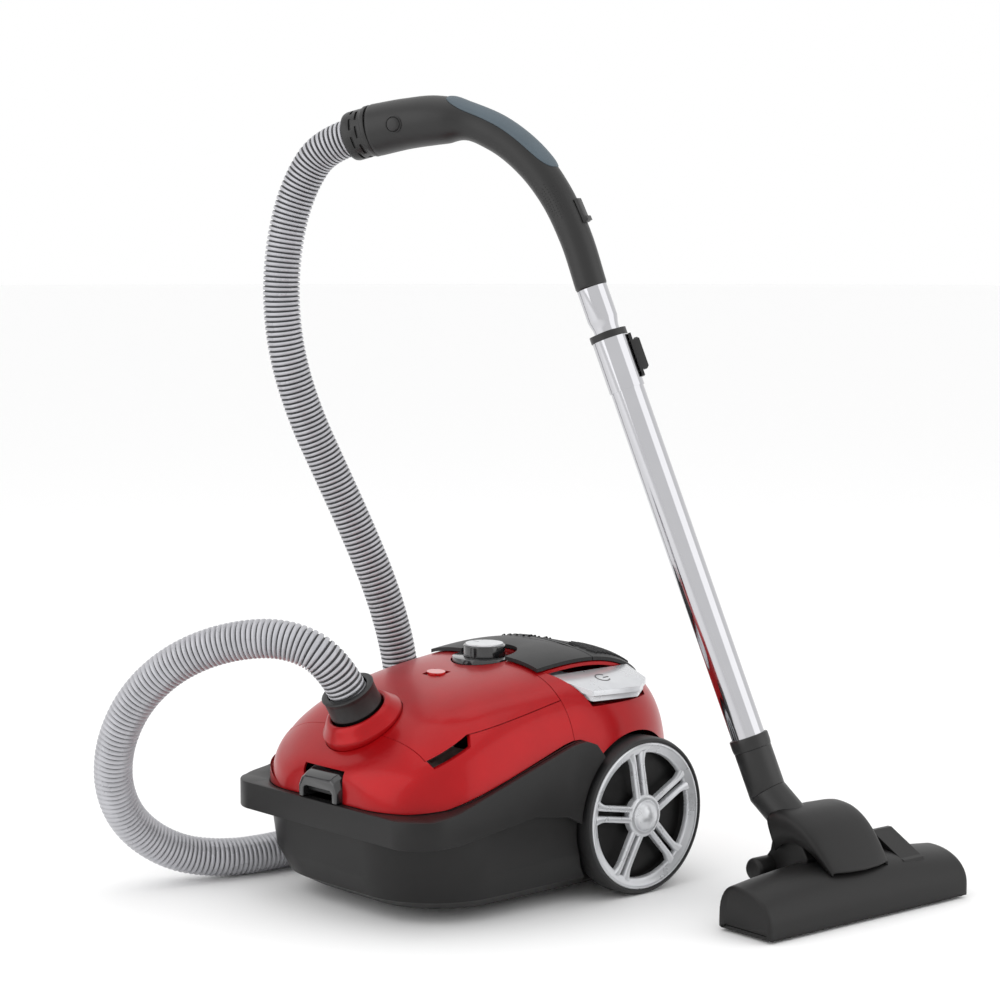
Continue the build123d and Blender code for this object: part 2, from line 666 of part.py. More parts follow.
def tube_button_plane(top):
    """Plane on the collar's outer side, where the length button slides."""
    outward = Vector(0.6652, 0.7466, 0)
    outward = (outward - WAND_AXIS * outward.dot(WAND_AXIS)).normalized()
    centre = top - WAND_AXIS * 24 + outward * COLLAR_R
    return Plane(origin=centre, x_dir=WAND_AXIS.cross(outward), z_dir=outward)


# ---------------------------------------------------------------- floor head
def head_location():
    return Location((HEAD_CENTRE.X, HEAD_CENTRE.Y, 0), (0, 0, HEAD_TURN))


def head_world(x, y, z):
    turn = math.radians(HEAD_TURN)
    return Vector(
        HEAD_CENTRE.X + x * math.cos(turn) - y * math.sin(turn),
        HEAD_CENTRE.Y + x * math.sin(turn) + y * math.cos(turn), z)


def head_section(inset):
    """Side outline of the head, front at plus x."""
    half = HEAD_DEPTH / 2 - inset
    top = HEAD_HEIGHT - inset
    floor = HEAD_CLEAR if inset == 0 else HEAD_CLEAR - 1
    front = Line((half, floor), (half, 24 - inset * 0.4))
    crown = Spline(front @ 1, (16, top - 6), (-14, top), tangents=[(0, 1), (-1, 0)])
    back = Spline((-14, top), (-half + 4, 30), (-half, 12), tangents=[(-1, 0), (0, -1)])
    rest = Polyline((-half, 12), (-half, floor), (half, floor))
    return make_face([front, crown, back, rest])


def head_form(inset):
    length = HEAD_HALF - inset
    upright = Plane(origin=(0, length, 0), x_dir=(1, 0, 0), z_dir=(0, -1, 0))
    body = extrude(upright * head_section(inset), 2 * length)
    top = [(-length, 0), (-length, 34 - inset), (-72, HEAD_HEIGHT + 0.5 - inset),
           (72, HEAD_HEIGHT + 0.5 - inset), (length, 34 - inset), (length, 0)]
    roof = extrude(Plane.YZ * make_face(Polyline(*top, close=True)), 80, both=True)
    return body & roof


def roller_pair(half_width, radius, bore=0.0):
    """Two rounds on the roller axis, one near each end of the head."""
    start = (ROLLER_X, ROLLER_Y - half_width, ROLLER_Z)
    far = rod(start, (0, 1, 0), 2 * half_width, radius, bore)
    return Pos(0, -2 * ROLLER_Y, 0) * far + far


def make_head():
    place = head_location()
    shell = head_form(0) - head_form(2.5)
    shell += block((-30, -34, 13), (18, -30, 46)) + block((-30, 30, 14), (18, 34, 46))
    shell -= block((-60, -30, 13), (24, 28, 80))
    shell -= rod((PIVOT_X, -60, PIVOT_Z), (0, 1, 0), 120, 4 + FIT)
    shell -= block((-36, 48, 38.4), (-2, 84, 60))
    shell -= roller_pair(9, 9.6)
    shell -= roller_pair(11, 2)
    save("head_body", place * shell)
    hood = hood_form(0) - hood_form(2.5)
    hood -= head_form(-0.4)
    hood -= block((-70, -50, 0), (-22, 35, 99))
    save("head_hood", place * hood)
    sole = head_form(2.7) & block((-60, -200, 2.2), (60, 200, 6))
    sole -= block((0, -112, 0), (16, 112, 12))
    sole -= Pos(0, 0, 2) * roller_pair(10, 9.6)
    for x in BRUSH_XS:
        sole -= block((x - 0.5, -BRUSH_HALF - 0.5, 0), (x + BRUSH_WIDTH + 0.5, BRUSH_HALF + 0.5, 12))
    save("sole_plate", place * sole)
    back, front = [block((x, -BRUSH_HALF, 6.6), (x + BRUSH_WIDTH, BRUSH_HALF, 12)) for x in BRUSH_XS]
    strips = front + back
    save("brush_strips", place * strips)
    pedal = block((-33, 51, 41), (-5, 81, 45)) + block((-33, 51, 45), (-27, 81, 66))
    save("head_pedal", place * pedal)
    save("head_rollers", place * roller_pair(8, 8, 2.05))
    pins = roller_pair(11, 2)
    pins += rod((PIVOT_X, -36, PIVOT_Z), (0, 1, 0), 72, 4)
    save("head_pins", place * pins)


def hood_form(inset):
    """Strap-shaped hood over the neck."""
    outline = [(-26, 20), (-32, 104), (-12, 104), (12, 80), (36, 46), (36, 20)]
    upright = Plane(origin=(0, 40, 0), x_dir=(1, 0, 0), z_dir=(0, -1, 0))
    face = make_face(Polyline(*outline, close=True))
    if inset > 0:
        face = offset(face, -inset)
    half = 38 - inset
    body = extrude(Plane(origin=(0, half, 0), x_dir=(1, 0, 0), z_dir=(0, -1, 0)) * face, 2 * half)
    return body


def make_neck():
    """Sleeve on the lower tube, and the elbow that turns on its slanted seam."""
    pivot = head_world(PIVOT_X, 0, PIVOT_Z)
    elbow_axis = (ELBOW_KNEE - MITRE).normalized()
    mitre_normal = (WAND_AXIS * -1 + elbow_axis).normalized()
    far = Plane(origin=MITRE, z_dir=mitre_normal)
    sleeve = rod(MITRE - WAND_AXIS * 40, WAND_AXIS, SLEEVE_LENGTH + 40, NECK_R)
    sleeve -= extrude(far * Rectangle(200, 200), 100)
    sleeve -= rod(MITRE + WAND_AXIS * (SLEEVE_LENGTH - LOWER_INSERT), WAND_AXIS, LOWER_INSERT + 5, LOWER_R + 0.02)
    sleeve -= rod(MITRE - WAND_AXIS * 40, WAND_AXIS, SLEEVE_LENGTH + 40, 14.5)
    save("head_sleeve", sleeve)
    path = FilletPolyline(MITRE - elbow_axis * 40, ELBOW_KNEE, pivot, radius=34)
    start = Plane(origin=path @ 0, z_dir=path % 0)
    neck = sweep(start * Circle(NECK_R), path=path)
    bore = sweep(start * Circle(14.5), path=path)
    neck -= bore
    neck -= extrude(far.offset(0.3) * Rectangle(200, 200), -200)
    barrel = head_location() * rod((PIVOT_X, -26, PIVOT_Z), (0, 1, 0), 52, 18)
    pipe = head_location() * rod((PIVOT_X, -60, PIVOT_Z), (0, 1, 0), 120, 4 + FIT)
    neck = (neck - barrel) + barrel - pipe
    save("elbow", neck)
    print("mitre normal", mitre_normal, "pivot", pivot)


# ---------------------------------------------------------------- write everything
def report_bounds():
    low = [1e9] * 3
    high = [-1e9] * 3
    for name, shape in PARTS.items():
        if name == "hose":
            continue
        box = shape.bounding_box()
        low = [min(a, b) for a, b in zip(low, box.min)]
        high = [max(a, b) for a, b in zip(high, box.max)]
    print("bounds without the hose", [round(v, 1) for v in low], [round(v, 1) for v in high])


def main():
    make_tub()
    make_belt_rail()
    make_covers()
    make_deck()
    make_inlet()
    make_indicator()
    make_latch()
    make_controls()
    make_wheels()
    make_caster()
    make_internals()
    make_hose()
    make_connector()
    make_handle()
    make_cuff()
    make_wand()
    make_head()
    make_neck()
    os.makedirs("parts", exist_ok=True)
    for name, shape in PARTS.items():
        export_step(shape, "parts/" + name + ".step")
    report_bounds()


main()
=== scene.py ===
import json
import math

import bmesh
import bpy
import numpy as np
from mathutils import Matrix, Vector
from mathutils.bvhtree import BVHTree


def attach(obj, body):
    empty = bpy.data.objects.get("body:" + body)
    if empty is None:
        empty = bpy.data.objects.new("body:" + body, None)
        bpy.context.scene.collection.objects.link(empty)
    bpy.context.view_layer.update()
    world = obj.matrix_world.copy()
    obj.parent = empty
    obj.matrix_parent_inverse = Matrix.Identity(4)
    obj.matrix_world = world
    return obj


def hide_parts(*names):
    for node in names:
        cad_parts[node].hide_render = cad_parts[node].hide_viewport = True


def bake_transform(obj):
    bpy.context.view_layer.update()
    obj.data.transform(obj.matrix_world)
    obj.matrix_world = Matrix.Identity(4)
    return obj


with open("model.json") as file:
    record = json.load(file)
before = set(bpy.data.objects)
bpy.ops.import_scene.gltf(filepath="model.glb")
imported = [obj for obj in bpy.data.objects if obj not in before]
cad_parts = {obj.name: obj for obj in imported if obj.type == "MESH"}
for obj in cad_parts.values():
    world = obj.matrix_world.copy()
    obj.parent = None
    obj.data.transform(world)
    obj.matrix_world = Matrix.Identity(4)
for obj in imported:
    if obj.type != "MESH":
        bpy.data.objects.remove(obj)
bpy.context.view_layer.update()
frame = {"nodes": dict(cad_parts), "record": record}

# Places below are in the canister's own frame, in millimetres, as in the part's source.
# Its origin is on the floor under the rear axle's middle.
ROW_SHIFT = Vector((-108.5, 32.0, 0.0))
MM = 0.001


def row(x, y, z):
    """A place in the stored frame, in metres."""
    return (Vector((x, y, z)) + ROW_SHIFT) * MM


# ---------------------------------------------------------------- camera
CAMERA_PLACE = (2045.0, -1882.0, 696.0)
CAMERA_HEADING = (-0.7466, 0.6652)
CAMERA_PITCH = math.radians(6.14)
CAMERA_LENS = 94.6
SENSOR = 36.0


def make_camera():
    """The camera, and a plain view transform so that colours keep their strength."""
    data = bpy.data.cameras.new("camera")
    data.lens = CAMERA_LENS
    data.sensor_width = SENSOR
    camera = bpy.data.objects.new("camera", data)
    bpy.context.scene.collection.objects.link(camera)
    camera.location = row(*CAMERA_PLACE)
    level = math.cos(CAMERA_PITCH)
    forward = Vector((CAMERA_HEADING[0] * level, CAMERA_HEADING[1] * level, -math.sin(CAMERA_PITCH)))
    camera.rotation_euler = forward.to_track_quat("-Z", "Y").to_euler()
    bpy.context.scene.camera = camera
    bpy.context.scene.view_settings.view_transform = "Standard"


# ---------------------------------------------------------------- materials
def shader(name):
    """A new material with its nodes, links and main shader."""
    material = bpy.data.materials.new(name)
    material.use_nodes = True
    nodes = material.node_tree.nodes
    return material, nodes, material.node_tree.links, nodes["Principled BSDF"]


def grain(nodes, links, scale, detail=2.0):
    """Noise over the object's own coordinates; scale is in cells per metre."""
    place = nodes.new("ShaderNodeTexCoord")
    noise = nodes.new("ShaderNodeTexNoise")
    noise.inputs["Scale"].default_value = scale
    noise.inputs["Detail"].default_value = detail
    links.new(place.outputs["Object"], noise.inputs["Vector"])
    return noise


def make_material(name, color, metallic=0.0, roughness=0.5, spread=0.05, vary=0.05,
                  bump=0.0, bump_scale=900.0, coat=0.0, coat_roughness=0.03, sheen=0.0,
                  specular=0.5):
    """Moulded, painted or plated surface with fine grain, uneven gloss and slight colour change."""
    material, nodes, links, principled = shader(name)
    principled.inputs["Metallic"].default_value = metallic
    principled.inputs["Specular IOR Level"].default_value = specular
    principled.inputs["Coat Weight"].default_value = coat
    principled.inputs["Coat Roughness"].default_value = coat_roughness
    principled.inputs["Sheen Weight"].default_value = sheen
    blotch = grain(nodes, links, 35.0, 4.0)
    ramp = nodes.new("ShaderNodeValToRGB")
    ramp.color_ramp.elements[0].position = 0.35
    ramp.color_ramp.elements[1].position = 0.65
    ramp.color_ramp.elements[0].color = (*[c * (1 - vary) for c in color], 1)
    ramp.color_ramp.elements[1].color = (*[min(1, c * (1 + vary)) for c in color], 1)
    links.new(blotch.outputs["Fac"], ramp.inputs["Fac"])
    links.new(ramp.outputs["Color"], principled.inputs["Base Color"])
    gloss = nodes.new("ShaderNodeMapRange")
    gloss.inputs["To Min"].default_value = max(0.0, roughness - spread)
    gloss.inputs["To Max"].default_value = min(1.0, roughness + spread)
    links.new(blotch.outputs["Fac"], gloss.inputs["Value"])
    links.new(gloss.outputs["Result"], principled.inputs["Roughness"])
    if bump > 0:
        fine = grain(nodes, links, bump_scale)
        relief = nodes.new("ShaderNodeBump")
        relief.inputs["Strength"].default_value = bump
        relief.inputs["Distance"].default_value = 0.0002
        links.new(fine.outputs["Fac"], relief.inputs["Height"])
        links.new(relief.outputs["Normal"], principled.inputs["Normal"])
    return material


MATERIALS = {
    "red": make_material("pearl_red", (0.36, 0.0015, 0.004), metallic=0.45, roughness=0.34, spread=0.03,
                         vary=0.04, bump=0.08, bump_scale=3000.0, coat=0.3, coat_roughness=0.14,
                         specular=0.15),
    "red_lens": make_material("red_lens", (0.55, 0.01, 0.012), roughness=0.12, coat=1.0),
    "charcoal": make_material("charcoal_plastic", (0.008, 0.0076, 0.0076), roughness=0.42, vary=0.08,
                              bump=0.35, bump_scale=1400.0, specular=0.3),
    "dark_grey": make_material("dark_grey_plastic", (0.012, 0.012, 0.0125), roughness=0.45, vary=0.08,
                               bump=0.3, bump_scale=1400.0, specular=0.3),
    "black_gloss": make_material("gloss_black", (0.012, 0.012, 0.013), roughness=0.16, spread=0.03,
                                 coat=0.6),
    "black_satin": make_material("satin_black", (0.007, 0.0068, 0.0068), roughness=0.40, vary=0.08,
                                 bump=0.25, bump_scale=1600.0),
    "silver_plastic": make_material("silver_paint", (0.62, 0.63, 0.65), metallic=0.45, roughness=0.28,
                                    spread=0.03, bump=0.08, bump_scale=3000.0, coat=0.35,
                                    coat_roughness=0.12),
    "chrome": make_material("chrome_plate", (0.52, 0.52, 0.54), metallic=1.0, roughness=0.10, spread=0.02,
                            vary=0.01),
    "steel": make_material("ground_steel", (0.55, 0.55, 0.57), metallic=1.0, roughness=0.35, spread=0.1),
    "aluminium": make_material("cast_aluminium", (0.7, 0.71, 0.73), metallic=1.0, roughness=0.4),
    "tyre": make_material("tyre_rubber", (0.010, 0.010, 0.0105), roughness=0.5, bump=0.3,
                          bump_scale=1200.0),
    "seal_rubber": make_material("seal_rubber", (0.022, 0.022, 0.022), roughness=0.6, bump=0.2),
    "grip_rubber": make_material("slate_grip", (0.072, 0.098, 0.118), roughness=0.55, bump=0.3,
                                 bump_scale=2200.0),
    "hose_grey": make_material("hose_grey", (0.43, 0.43, 0.455), metallic=0.25, roughness=0.28, vary=0.06,
                               bump=0.1, bump_scale=1500.0),
    # painted shade: a near-black colour for the hollows between the hose's ribs
    "hose_groove_painted_shade": make_material("hose_groove_painted_shade", (0.035, 0.035, 0.038), roughness=0.55),
    "foam": make_material("filter_foam", (0.22, 0.24, 0.27), roughness=0.95, bump=0.9, bump_scale=700.0),
    "bag_cloth": make_material("bag_fleece", (0.80, 0.79, 0.75), roughness=0.95, bump=0.8, bump_scale=900.0,
                               sheen=0.3),
    "card": make_material("bag_card", (0.55, 0.43, 0.30), roughness=0.85, bump=0.3),
    "board": make_material("circuit_board", (0.03, 0.20, 0.09), roughness=0.4),
    "cord_pvc": make_material("cord_pvc", (0.022, 0.022, 0.022), roughness=0.45, bump=0.2),
    "bristle": make_material("nylon_bristle", (0.03, 0.03, 0.03), roughness=0.7, bump=0.9,
                             bump_scale=2500.0),
    "dark_print": make_material("dark_print", (0.10, 0.10, 0.105), roughness=0.5),
}


# ---------------------------------------------------------------- shared mesh helpers
DOUBLE_GAP = 0.000002     # corners closer than this are one, in metres
CAD_GAP = 0.00001         # the same, for a CAD node's split corners
SHARP_ANGLE = math.radians(32)


def new_piece(name, vertices, faces, slot, smooth=True):
    """A mesh piece in one material, with doubled corners merged and its faces turned outwards."""
    mesh = bpy.data.meshes.new(name)
    mesh.from_pydata([tuple(v) for v in vertices], [], faces)
    work = bmesh.new()
    work.from_mesh(mesh)
    bmesh.ops.remove_doubles(work, verts=work.verts, dist=DOUBLE_GAP)
    bmesh.ops.recalc_face_normals(work, faces=work.faces)
    work.to_mesh(mesh)
    work.free()
    mesh.update()
    if smooth:
        for polygon in mesh.polygons:
            polygon.use_smooth = True
    obj = bpy.data.objects.new(name, mesh)
    bpy.context.scene.collection.objects.link(obj)
    mesh.materials.append(MATERIALS[slot])
    return obj


def smooth_group():
    """Geometry nodes that merge a CAD mesh's split corners and smooth it below a sharp angle."""
    group = bpy.data.node_groups.new("smooth_cad", "GeometryNodeTree")
    group.interface.new_socket("Geometry", in_out="INPUT", socket_type="NodeSocketGeometry")
    group.interface.new_socket("Geometry", in_out="OUTPUT", socket_type="NodeSocketGeometry")
    group.is_modifier = True
    nodes, links = group.nodes, group.links
    start = nodes.new("NodeGroupInput")
    merge = nodes.new("GeometryNodeMergeByDistance")
    merge.inputs["Distance"].default_value = CAD_GAP
    smooth_faces = nodes.new("GeometryNodeSetShadeSmooth")
    smooth_faces.domain = "FACE"
    smooth_faces.inputs["Shade Smooth"].default_value = True
    angle = nodes.new("GeometryNodeInputMeshEdgeAngle")
    compare = nodes.new("FunctionNodeCompare")
    compare.data_type = "FLOAT"
    compare.operation = "LESS_THAN"
    compare.inputs["B"].default_value = SHARP_ANGLE
    smooth_edges = nodes.new("GeometryNodeSetShadeSmooth")
    smooth_edges.domain = "EDGE"
    end = nodes.new("NodeGroupOutput")
    links.new(start.outputs[0], merge.inputs["Geometry"])
    links.new(merge.outputs["Geometry"], smooth_faces.inputs["Geometry"])
    links.new(smooth_faces.outputs["Geometry"], smooth_edges.inputs["Geometry"])
    links.new(angle.outputs["Unsigned Angle"], compare.inputs["A"])
    links.new(compare.outputs["Result"], smooth_edges.inputs["Shade Smooth"])
    links.new(smooth_edges.outputs["Geometry"], end.inputs[0])
    return group


SMOOTH = smooth_group()


def smooth_by_angle(obj):
    """Smooth shading that keeps sharp edges."""
    modifier = obj.modifiers.new("smooth", "NODES")
    modifier.node_group = SMOOTH


def bevel(obj, width, segments, angle=None):
    """Rounded edges, in millimetres; only those sharper than an angle in degrees if one is given."""
    edge = obj.modifiers.new("edge", "BEVEL")
    edge.width = width * MM
    edge.segments = segments
    if angle is not None:
        edge.limit_method = "ANGLE"
        edge.angle_limit = math.radians(angle)


def add_loops(faces, base, rings, sides):
    """Quads between rings of vertices that each close on themselves."""
    for ring in range(rings - 1):
        first = base + ring * sides
        for step in range(sides):
            after = (step + 1) % sides
            faces.append((first + step, first + after, first + sides + after, first + sides + step))


def add_caps(faces, rings, sides):
    """A flat end on the first and on the last of a piece's rings."""
    last = (rings - 1) * sides
    faces.append(tuple(reversed(range(sides))))
    faces.append(tuple(last + step for step in range(sides)))


def add_strip(vertices, faces, rings):
    """Joins rows of equal length into a sheet of quads."""
    base = len(vertices)
    count = len(rings[0])
    for ring in rings:
        vertices.extend(ring)
    for i in range(len(rings) - 1):
        for j in range(count - 1):
            first = base + i * count + j
            faces.append((first, first + 1, first + count + 1, first + count))


def add_prism(vertices, faces, rings):
    """A strip with flat ends. Each of its outlines ends on its own first place."""
    base = len(vertices)
    add_strip(vertices, faces, rings)
    count = len(rings[0])
    last = base + (len(rings) - 1) * count
    faces.append(tuple(range(base, base + count - 1)))
    faces.append(tuple(reversed(range(last, last + count - 1))))


def spun_piece(name, centre, axis, profile, sides, slot):
    """A turned form: profile is radius and height pairs in millimetres along the axis."""
    across = axis.orthogonal().normalized()
    along = axis.cross(across)
    vertices = []
    for radius, height in profile:
        for step in range(sides):
            turn = 2 * math.pi * step / sides
            flat = across * math.cos(turn) + along * math.sin(turn)
            vertices.append(centre + flat * (max(radius, 0.01) * MM) + axis * (height * MM))
    faces = []
    add_loops(faces, 0, len(profile), sides)
    add_caps(faces, len(profile), sides)
    return new_piece(name, vertices, faces, slot)


def dress_nodes():
    """Every CAD node gets its slot's material, and smooth shading across its soft edges."""
    slots = {part["node"]: part["material_slot"] for part in frame["record"]["subparts"]}
    for name, obj in frame["nodes"].items():
        obj.data.materials.clear()
        obj.data.materials.append(MATERIALS[slots[name]])
        smooth_by_angle(obj)


# ---------------------------------------------------------------- hose
HOSE_ROUTE = [
    (0.0, -260.0, 215.5),
    (0.0, -283.0, 255.3),
    (-36.0, -314.0, 279.0),
    (-86.0, -350.0, 273.0),
    (-130.0, -384.0, 250.0),
    (-167.0, -407.0, 211.0),
    (-192.0, -417.0, 162.0),
    (-208.0, -410.0, 111.0),
    (-215.0, -383.0, 65.0),
    (-205.0, -337.0, 31.0),
    (-187.0, -284.0, 20.0),
    (-179.0, -226.0, 20.0),
    (-188.0, -166.0, 20.0),
    (-201.0, -110.0, 24.0),
    (-208.0, -64.0, 54.0),
    (-206.0, -34.0, 103.0),
    (-201.0, -25.0, 161.0),
    (-199.9, -35.8, 223.0),
    (-204.6, -55.1, 288.0),
    (-213.9, -81.2, 354.0),
    (-225.0, -108.4, 418.0),
    (-233.9, -137.3, 482.0),
    (-238.1, -158.4, 548.0),
    (-238.2, -166.3, 616.0),
    (-232.9, -161.2, 684.0),
    (-217.0, -151.4, 737.0),
    (-189.0, -140.3, 773.5),
    (-153.8, -123.7, 783.0),
]
RIB_PITCH = 0.0052
RIB_SIDES = 28
# share of one rib's pitch, and radius
RIB_PROFILE = [(0.0, 0.0175), (0.16, 0.0176), (0.30, 0.0196), (0.46, 0.0200), (0.70, 0.0200),
               (0.86, 0.0195)]
PAINTED_SHADE_STEPS = (0, 5)     # steps of the profile that lie in the groove, which get the painted shade
FRAME_REACH = 0.0015      # how far each way the line's direction is read


def route_points():
    """The hose's centre line, read from a smooth curve on the route's points."""
    curve = bpy.data.curves.new("hose_line", "CURVE")
    curve.dimensions = "3D"
    curve.resolution_u = 16
    spline = curve.splines.new("NURBS")
    spline.points.add(len(HOSE_ROUTE) - 1)
    for point, place in zip(spline.points, HOSE_ROUTE):
        point.co = (*row(*place), 1.0)
    spline.order_u = 3
    spline.use_endpoint_u = True
    holder = bpy.data.objects.new("hose_line", curve)
    bpy.context.scene.collection.objects.link(holder)
    line = bpy.data.meshes.new_from_object(holder)
    points = [vertex.co.copy() for vertex in line.vertices]
    bpy.data.objects.remove(holder)
    bpy.data.curves.remove(curve)
    bpy.data.meshes.remove(line)
    return points


class Line:
    """A centre line with even travel: place and square frame at any distance."""

    def __init__(self, points):
        self.points = np.array([tuple(p) for p in points])
        steps = np.linalg.norm(np.diff(self.points, axis=0), axis=1)
        self.travel = np.concatenate([[0.0], np.cumsum(steps)])
        self.length = float(self.travel[-1])

    def at(self, distance):
        """The place at a distance along the line."""
        return Vector([float(np.interp(distance, self.travel, self.points[:, k])) for k in range(3)])

    def frames(self, distances, first_side):
        """Places with side and lift directions carried along without twist."""
        side = first_side.copy()
        result = []
        for distance in distances:
            low = max(0.0, distance - FRAME_REACH)
            high = min(self.length, distance + FRAME_REACH)
            tangent = (self.at(high) - self.at(low)).normalized()
            side = (side - tangent * side.dot(tangent)).normalized()
            result.append((self.at(distance), side.copy(), tangent.cross(side)))
        return result


def tube_mesh(frames, radii, sides):
    """Rings of vertices round a line, joined by quads, closed at both ends."""
    vertices = []
    for (centre, side, lift), radius in zip(frames, radii):
        for step in range(sides):
            turn = 2 * math.pi * step / sides
            vertices.append(centre + side * (radius * math.cos(turn)) + lift * (radius * math.sin(turn)))
    faces = []
    add_loops(faces, 0, len(frames), sides)
    add_caps(faces, len(frames), sides)
    return vertices, faces


def make_hose():
    """Ribbed hose from the connector to the cuff, with painted shade in the grooves between its ribs."""
    points = route_points()
    line = Line(points)
    ribs = int(line.length / RIB_PITCH)
    pitch = line.length / ribs
    distances = []
    radii = []
    kinds = []
    for rib in range(ribs):
        for index, (share, radius) in enumerate(RIB_PROFILE):
            distances.append((rib + share) * pitch)
            radii.append(radius)
            kinds.append(index)
    distances.append(line.length)
    radii.append(RIB_PROFILE[0][1])
    kinds.append(0)
    frames = line.frames(distances, Vector((1, 0, 0)))
    vertices, faces = tube_mesh(frames, radii, RIB_SIDES)
    hose = new_piece("hose_tube", vertices, faces, "hose_grey")
    # the rings that lie in the grooves get the painted shade
    hose.data.materials.append(MATERIALS["hose_groove_painted_shade"])
    for index, polygon in enumerate(hose.data.polygons):
        ring = index // RIB_SIDES
        if ring < len(kinds) - 1 and kinds[ring] in PAINTED_SHADE_STEPS:
            polygon.material_index = 1
    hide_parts("hose")
    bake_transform(hose)


# ---------------------------------------------------------------- handle
HANDLE_SEAM = (85.9, -10.2)
# level directions along the handle's plane, and out of it on the near side
HANDLE_SIDE = Vector((-0.904, -0.428, 0.0)).normalized()
HANDLE_NEAR = Vector((0.428, -0.904, 0.0)).normalized()
# distance along HANDLE_SIDE, height, radius
HANDLE_STATIONS = [
    (0.0, 624.0, 16.6),
    (18.5, 677.0, 17.0),
    (40.0, 719.0, 17.6),
    (67.0, 753.0, 18.4),
    (106.0, 782.0, 18.6),
    (140.0, 795.0, 19.6),
    (158.0, 797.0, 24.0),
    (172.0, 797.0, 25.6),
    (207.0, 794.0, 26.6),
    (245.5, 787.5, 27.6),
]
HANDLE_RINGS = 150
HANDLE_SIDES = 56
PAD_FIRST, PAD_LAST = 0.37, 0.745     # shares of the handle's length
PAD_HALF_ANGLE = math.radians(58)
PAD_LIFT = 0.7
PAD_SUNK = -0.6           # how far the pad's rim goes under the handle's surface
DOT_RADIUS = 0.9
DOT_HEIGHT = 0.6
DOT_SIDES = 10
DOT_ROWS = 26
DOT_TURN = math.radians(11.5)
OVAL_MIDDLE = 0.285       # share of the handle's length at the oval of small dots
BUTTON_SHARE = 0.90
BUTTON_TURN = math.radians(92)
BUTTON_PROFILE = [(9.2, -1.5), (9.2, 0.5), (8.6, 1.0), (7.9, 0.9), (7.7, 0.1), (7.3, 0.1), (7.1, 1.4),
                  (6.3, 2.2), (4.0, 2.4), (0.0, 2.5)]


def through(knots, values, wanted):
    """Smooth curve through values at knots, level where they turn back so that it can't overshoot."""
    slopes = np.gradient(values, knots)
    steps = np.diff(values)
    for k in range(1, len(values) - 1):
        if steps[k - 1] * steps[k] <= 0:
            slopes[k] = 0.0
    index = np.clip(np.searchsorted(knots, wanted) - 1, 0, len(knots) - 2)
    width = knots[index + 1] - knots[index]
    t = (wanted - knots[index]) / width
    blend_a = 2 * t ** 3 - 3 * t ** 2 + 1
    blend_b = t ** 3 - 2 * t ** 2 + t
    blend_c = -2 * t ** 3 + 3 * t ** 2
    blend_d = t ** 3 - t ** 2
    return (blend_a * values[index] + blend_b * width * slopes[index]
            + blend_c * values[index + 1] + blend_d * width * slopes[index + 1])


class HandleForm:
    """The handle's outer surface: place and outward direction at any share of its length and angle."""

    def __init__(self):
        stations = np.array(HANDLE_STATIONS)
        chords = np.hypot(np.diff(stations[:, 0]), np.diff(stations[:, 1]))
        self.knots = np.concatenate([[0.0], np.cumsum(chords)])
        self.stations = stations
        self.length = self.knots[-1]

    def centre(self, travel):
        """Distance along HANDLE_SIDE and height, in millimetres."""
        distance = float(through(self.knots, self.stations[:, 0], travel))
        height = float(through(self.knots, self.stations[:, 1], travel))
        return distance, height

    def radius(self, travel):
        """The handle's radius in millimetres."""
        return float(through(self.knots, self.stations[:, 2], travel))

    def surface(self, share, angle, lift=0.0):
        """Angle 0 is the outer side of the bend, and positive turns towards the near side."""
        travel = share * self.length
        low = self.centre(max(0.0, travel - 0.5))
        high = self.centre(min(self.length, travel + 0.5))
        run = math.hypot(high[0] - low[0], high[1] - low[1])
        ahead = ((high[0] - low[0]) / run, (high[1] - low[1]) / run)
        distance, height = self.centre(travel)
        outer = HANDLE_SIDE * -ahead[1] + Vector((0, 0, ahead[0]))
        out = outer * math.cos(angle) + HANDLE_NEAR * math.sin(angle)
        base = row(HANDLE_SEAM[0], HANDLE_SEAM[1], height) + HANDLE_SIDE * (distance * MM)
        return base + out * ((self.radius(travel) + lift) * MM), out


def make_handle_body(form):
    """The handle's shell, rounded in at both ends."""
    vertices = []
    shares = [0.0] + list(np.linspace(0.0, 1.0, HANDLE_RINGS)) + [1.0]
    lifts = [-2.4] + [-0.8] + [0.0] * (HANDLE_RINGS - 2) + [-0.8] + [-3.0]
    for share, lift in zip(shares, lifts):
        for step in range(HANDLE_SIDES):
            vertices.append(form.surface(share, 2 * math.pi * step / HANDLE_SIDES, lift)[0])
    faces = []
    add_loops(faces, 0, len(shares), HANDLE_SIDES)
    add_caps(faces, len(shares), HANDLE_SIDES)
    body = new_piece("handle_body", vertices, faces, "black_satin")
    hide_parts("handle_shell")
    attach(body, "handle")


def pad_width(t):
    """Half angle of the pad at a share of its own length, rounded at both tips."""
    return PAD_HALF_ANGLE * (1 - abs(2 * t - 1) ** 5) ** 0.4


def make_handle_pad(form):
    """Soft pad let into the outer side of the handle's bend."""
    lines, columns = 60, 24
    rings = []
    for i in range(lines + 1):
        t = i / lines
        share = PAD_FIRST + (PAD_LAST - PAD_FIRST) * t
        half = max(pad_width(t), 0.02)
        ring = []
        for j in range(columns + 1):
            across = 2 * j / columns - 1
            edge = min(1.0, (1 - abs(across)) * 6, t * 14, (1 - t) * 14)
            lift = PAD_SUNK + (PAD_LIFT - PAD_SUNK) * math.sin(edge * math.pi / 2)
            ring.append(form.surface(share, across * half, lift)[0])
        rings.append(ring)
    vertices, faces = [], []
    add_strip(vertices, faces, rings)
    pad = new_piece("handle_pad", vertices, faces, "grip_rubber")
    thick = pad.modifiers.new("thick", "SOLIDIFY")
    thick.thickness = 0.0012
    thick.offset = -1.0 if pad.data.polygons[0].normal.z > 0 else 1.0
    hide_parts("grip_pad")
    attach(pad, "handle")


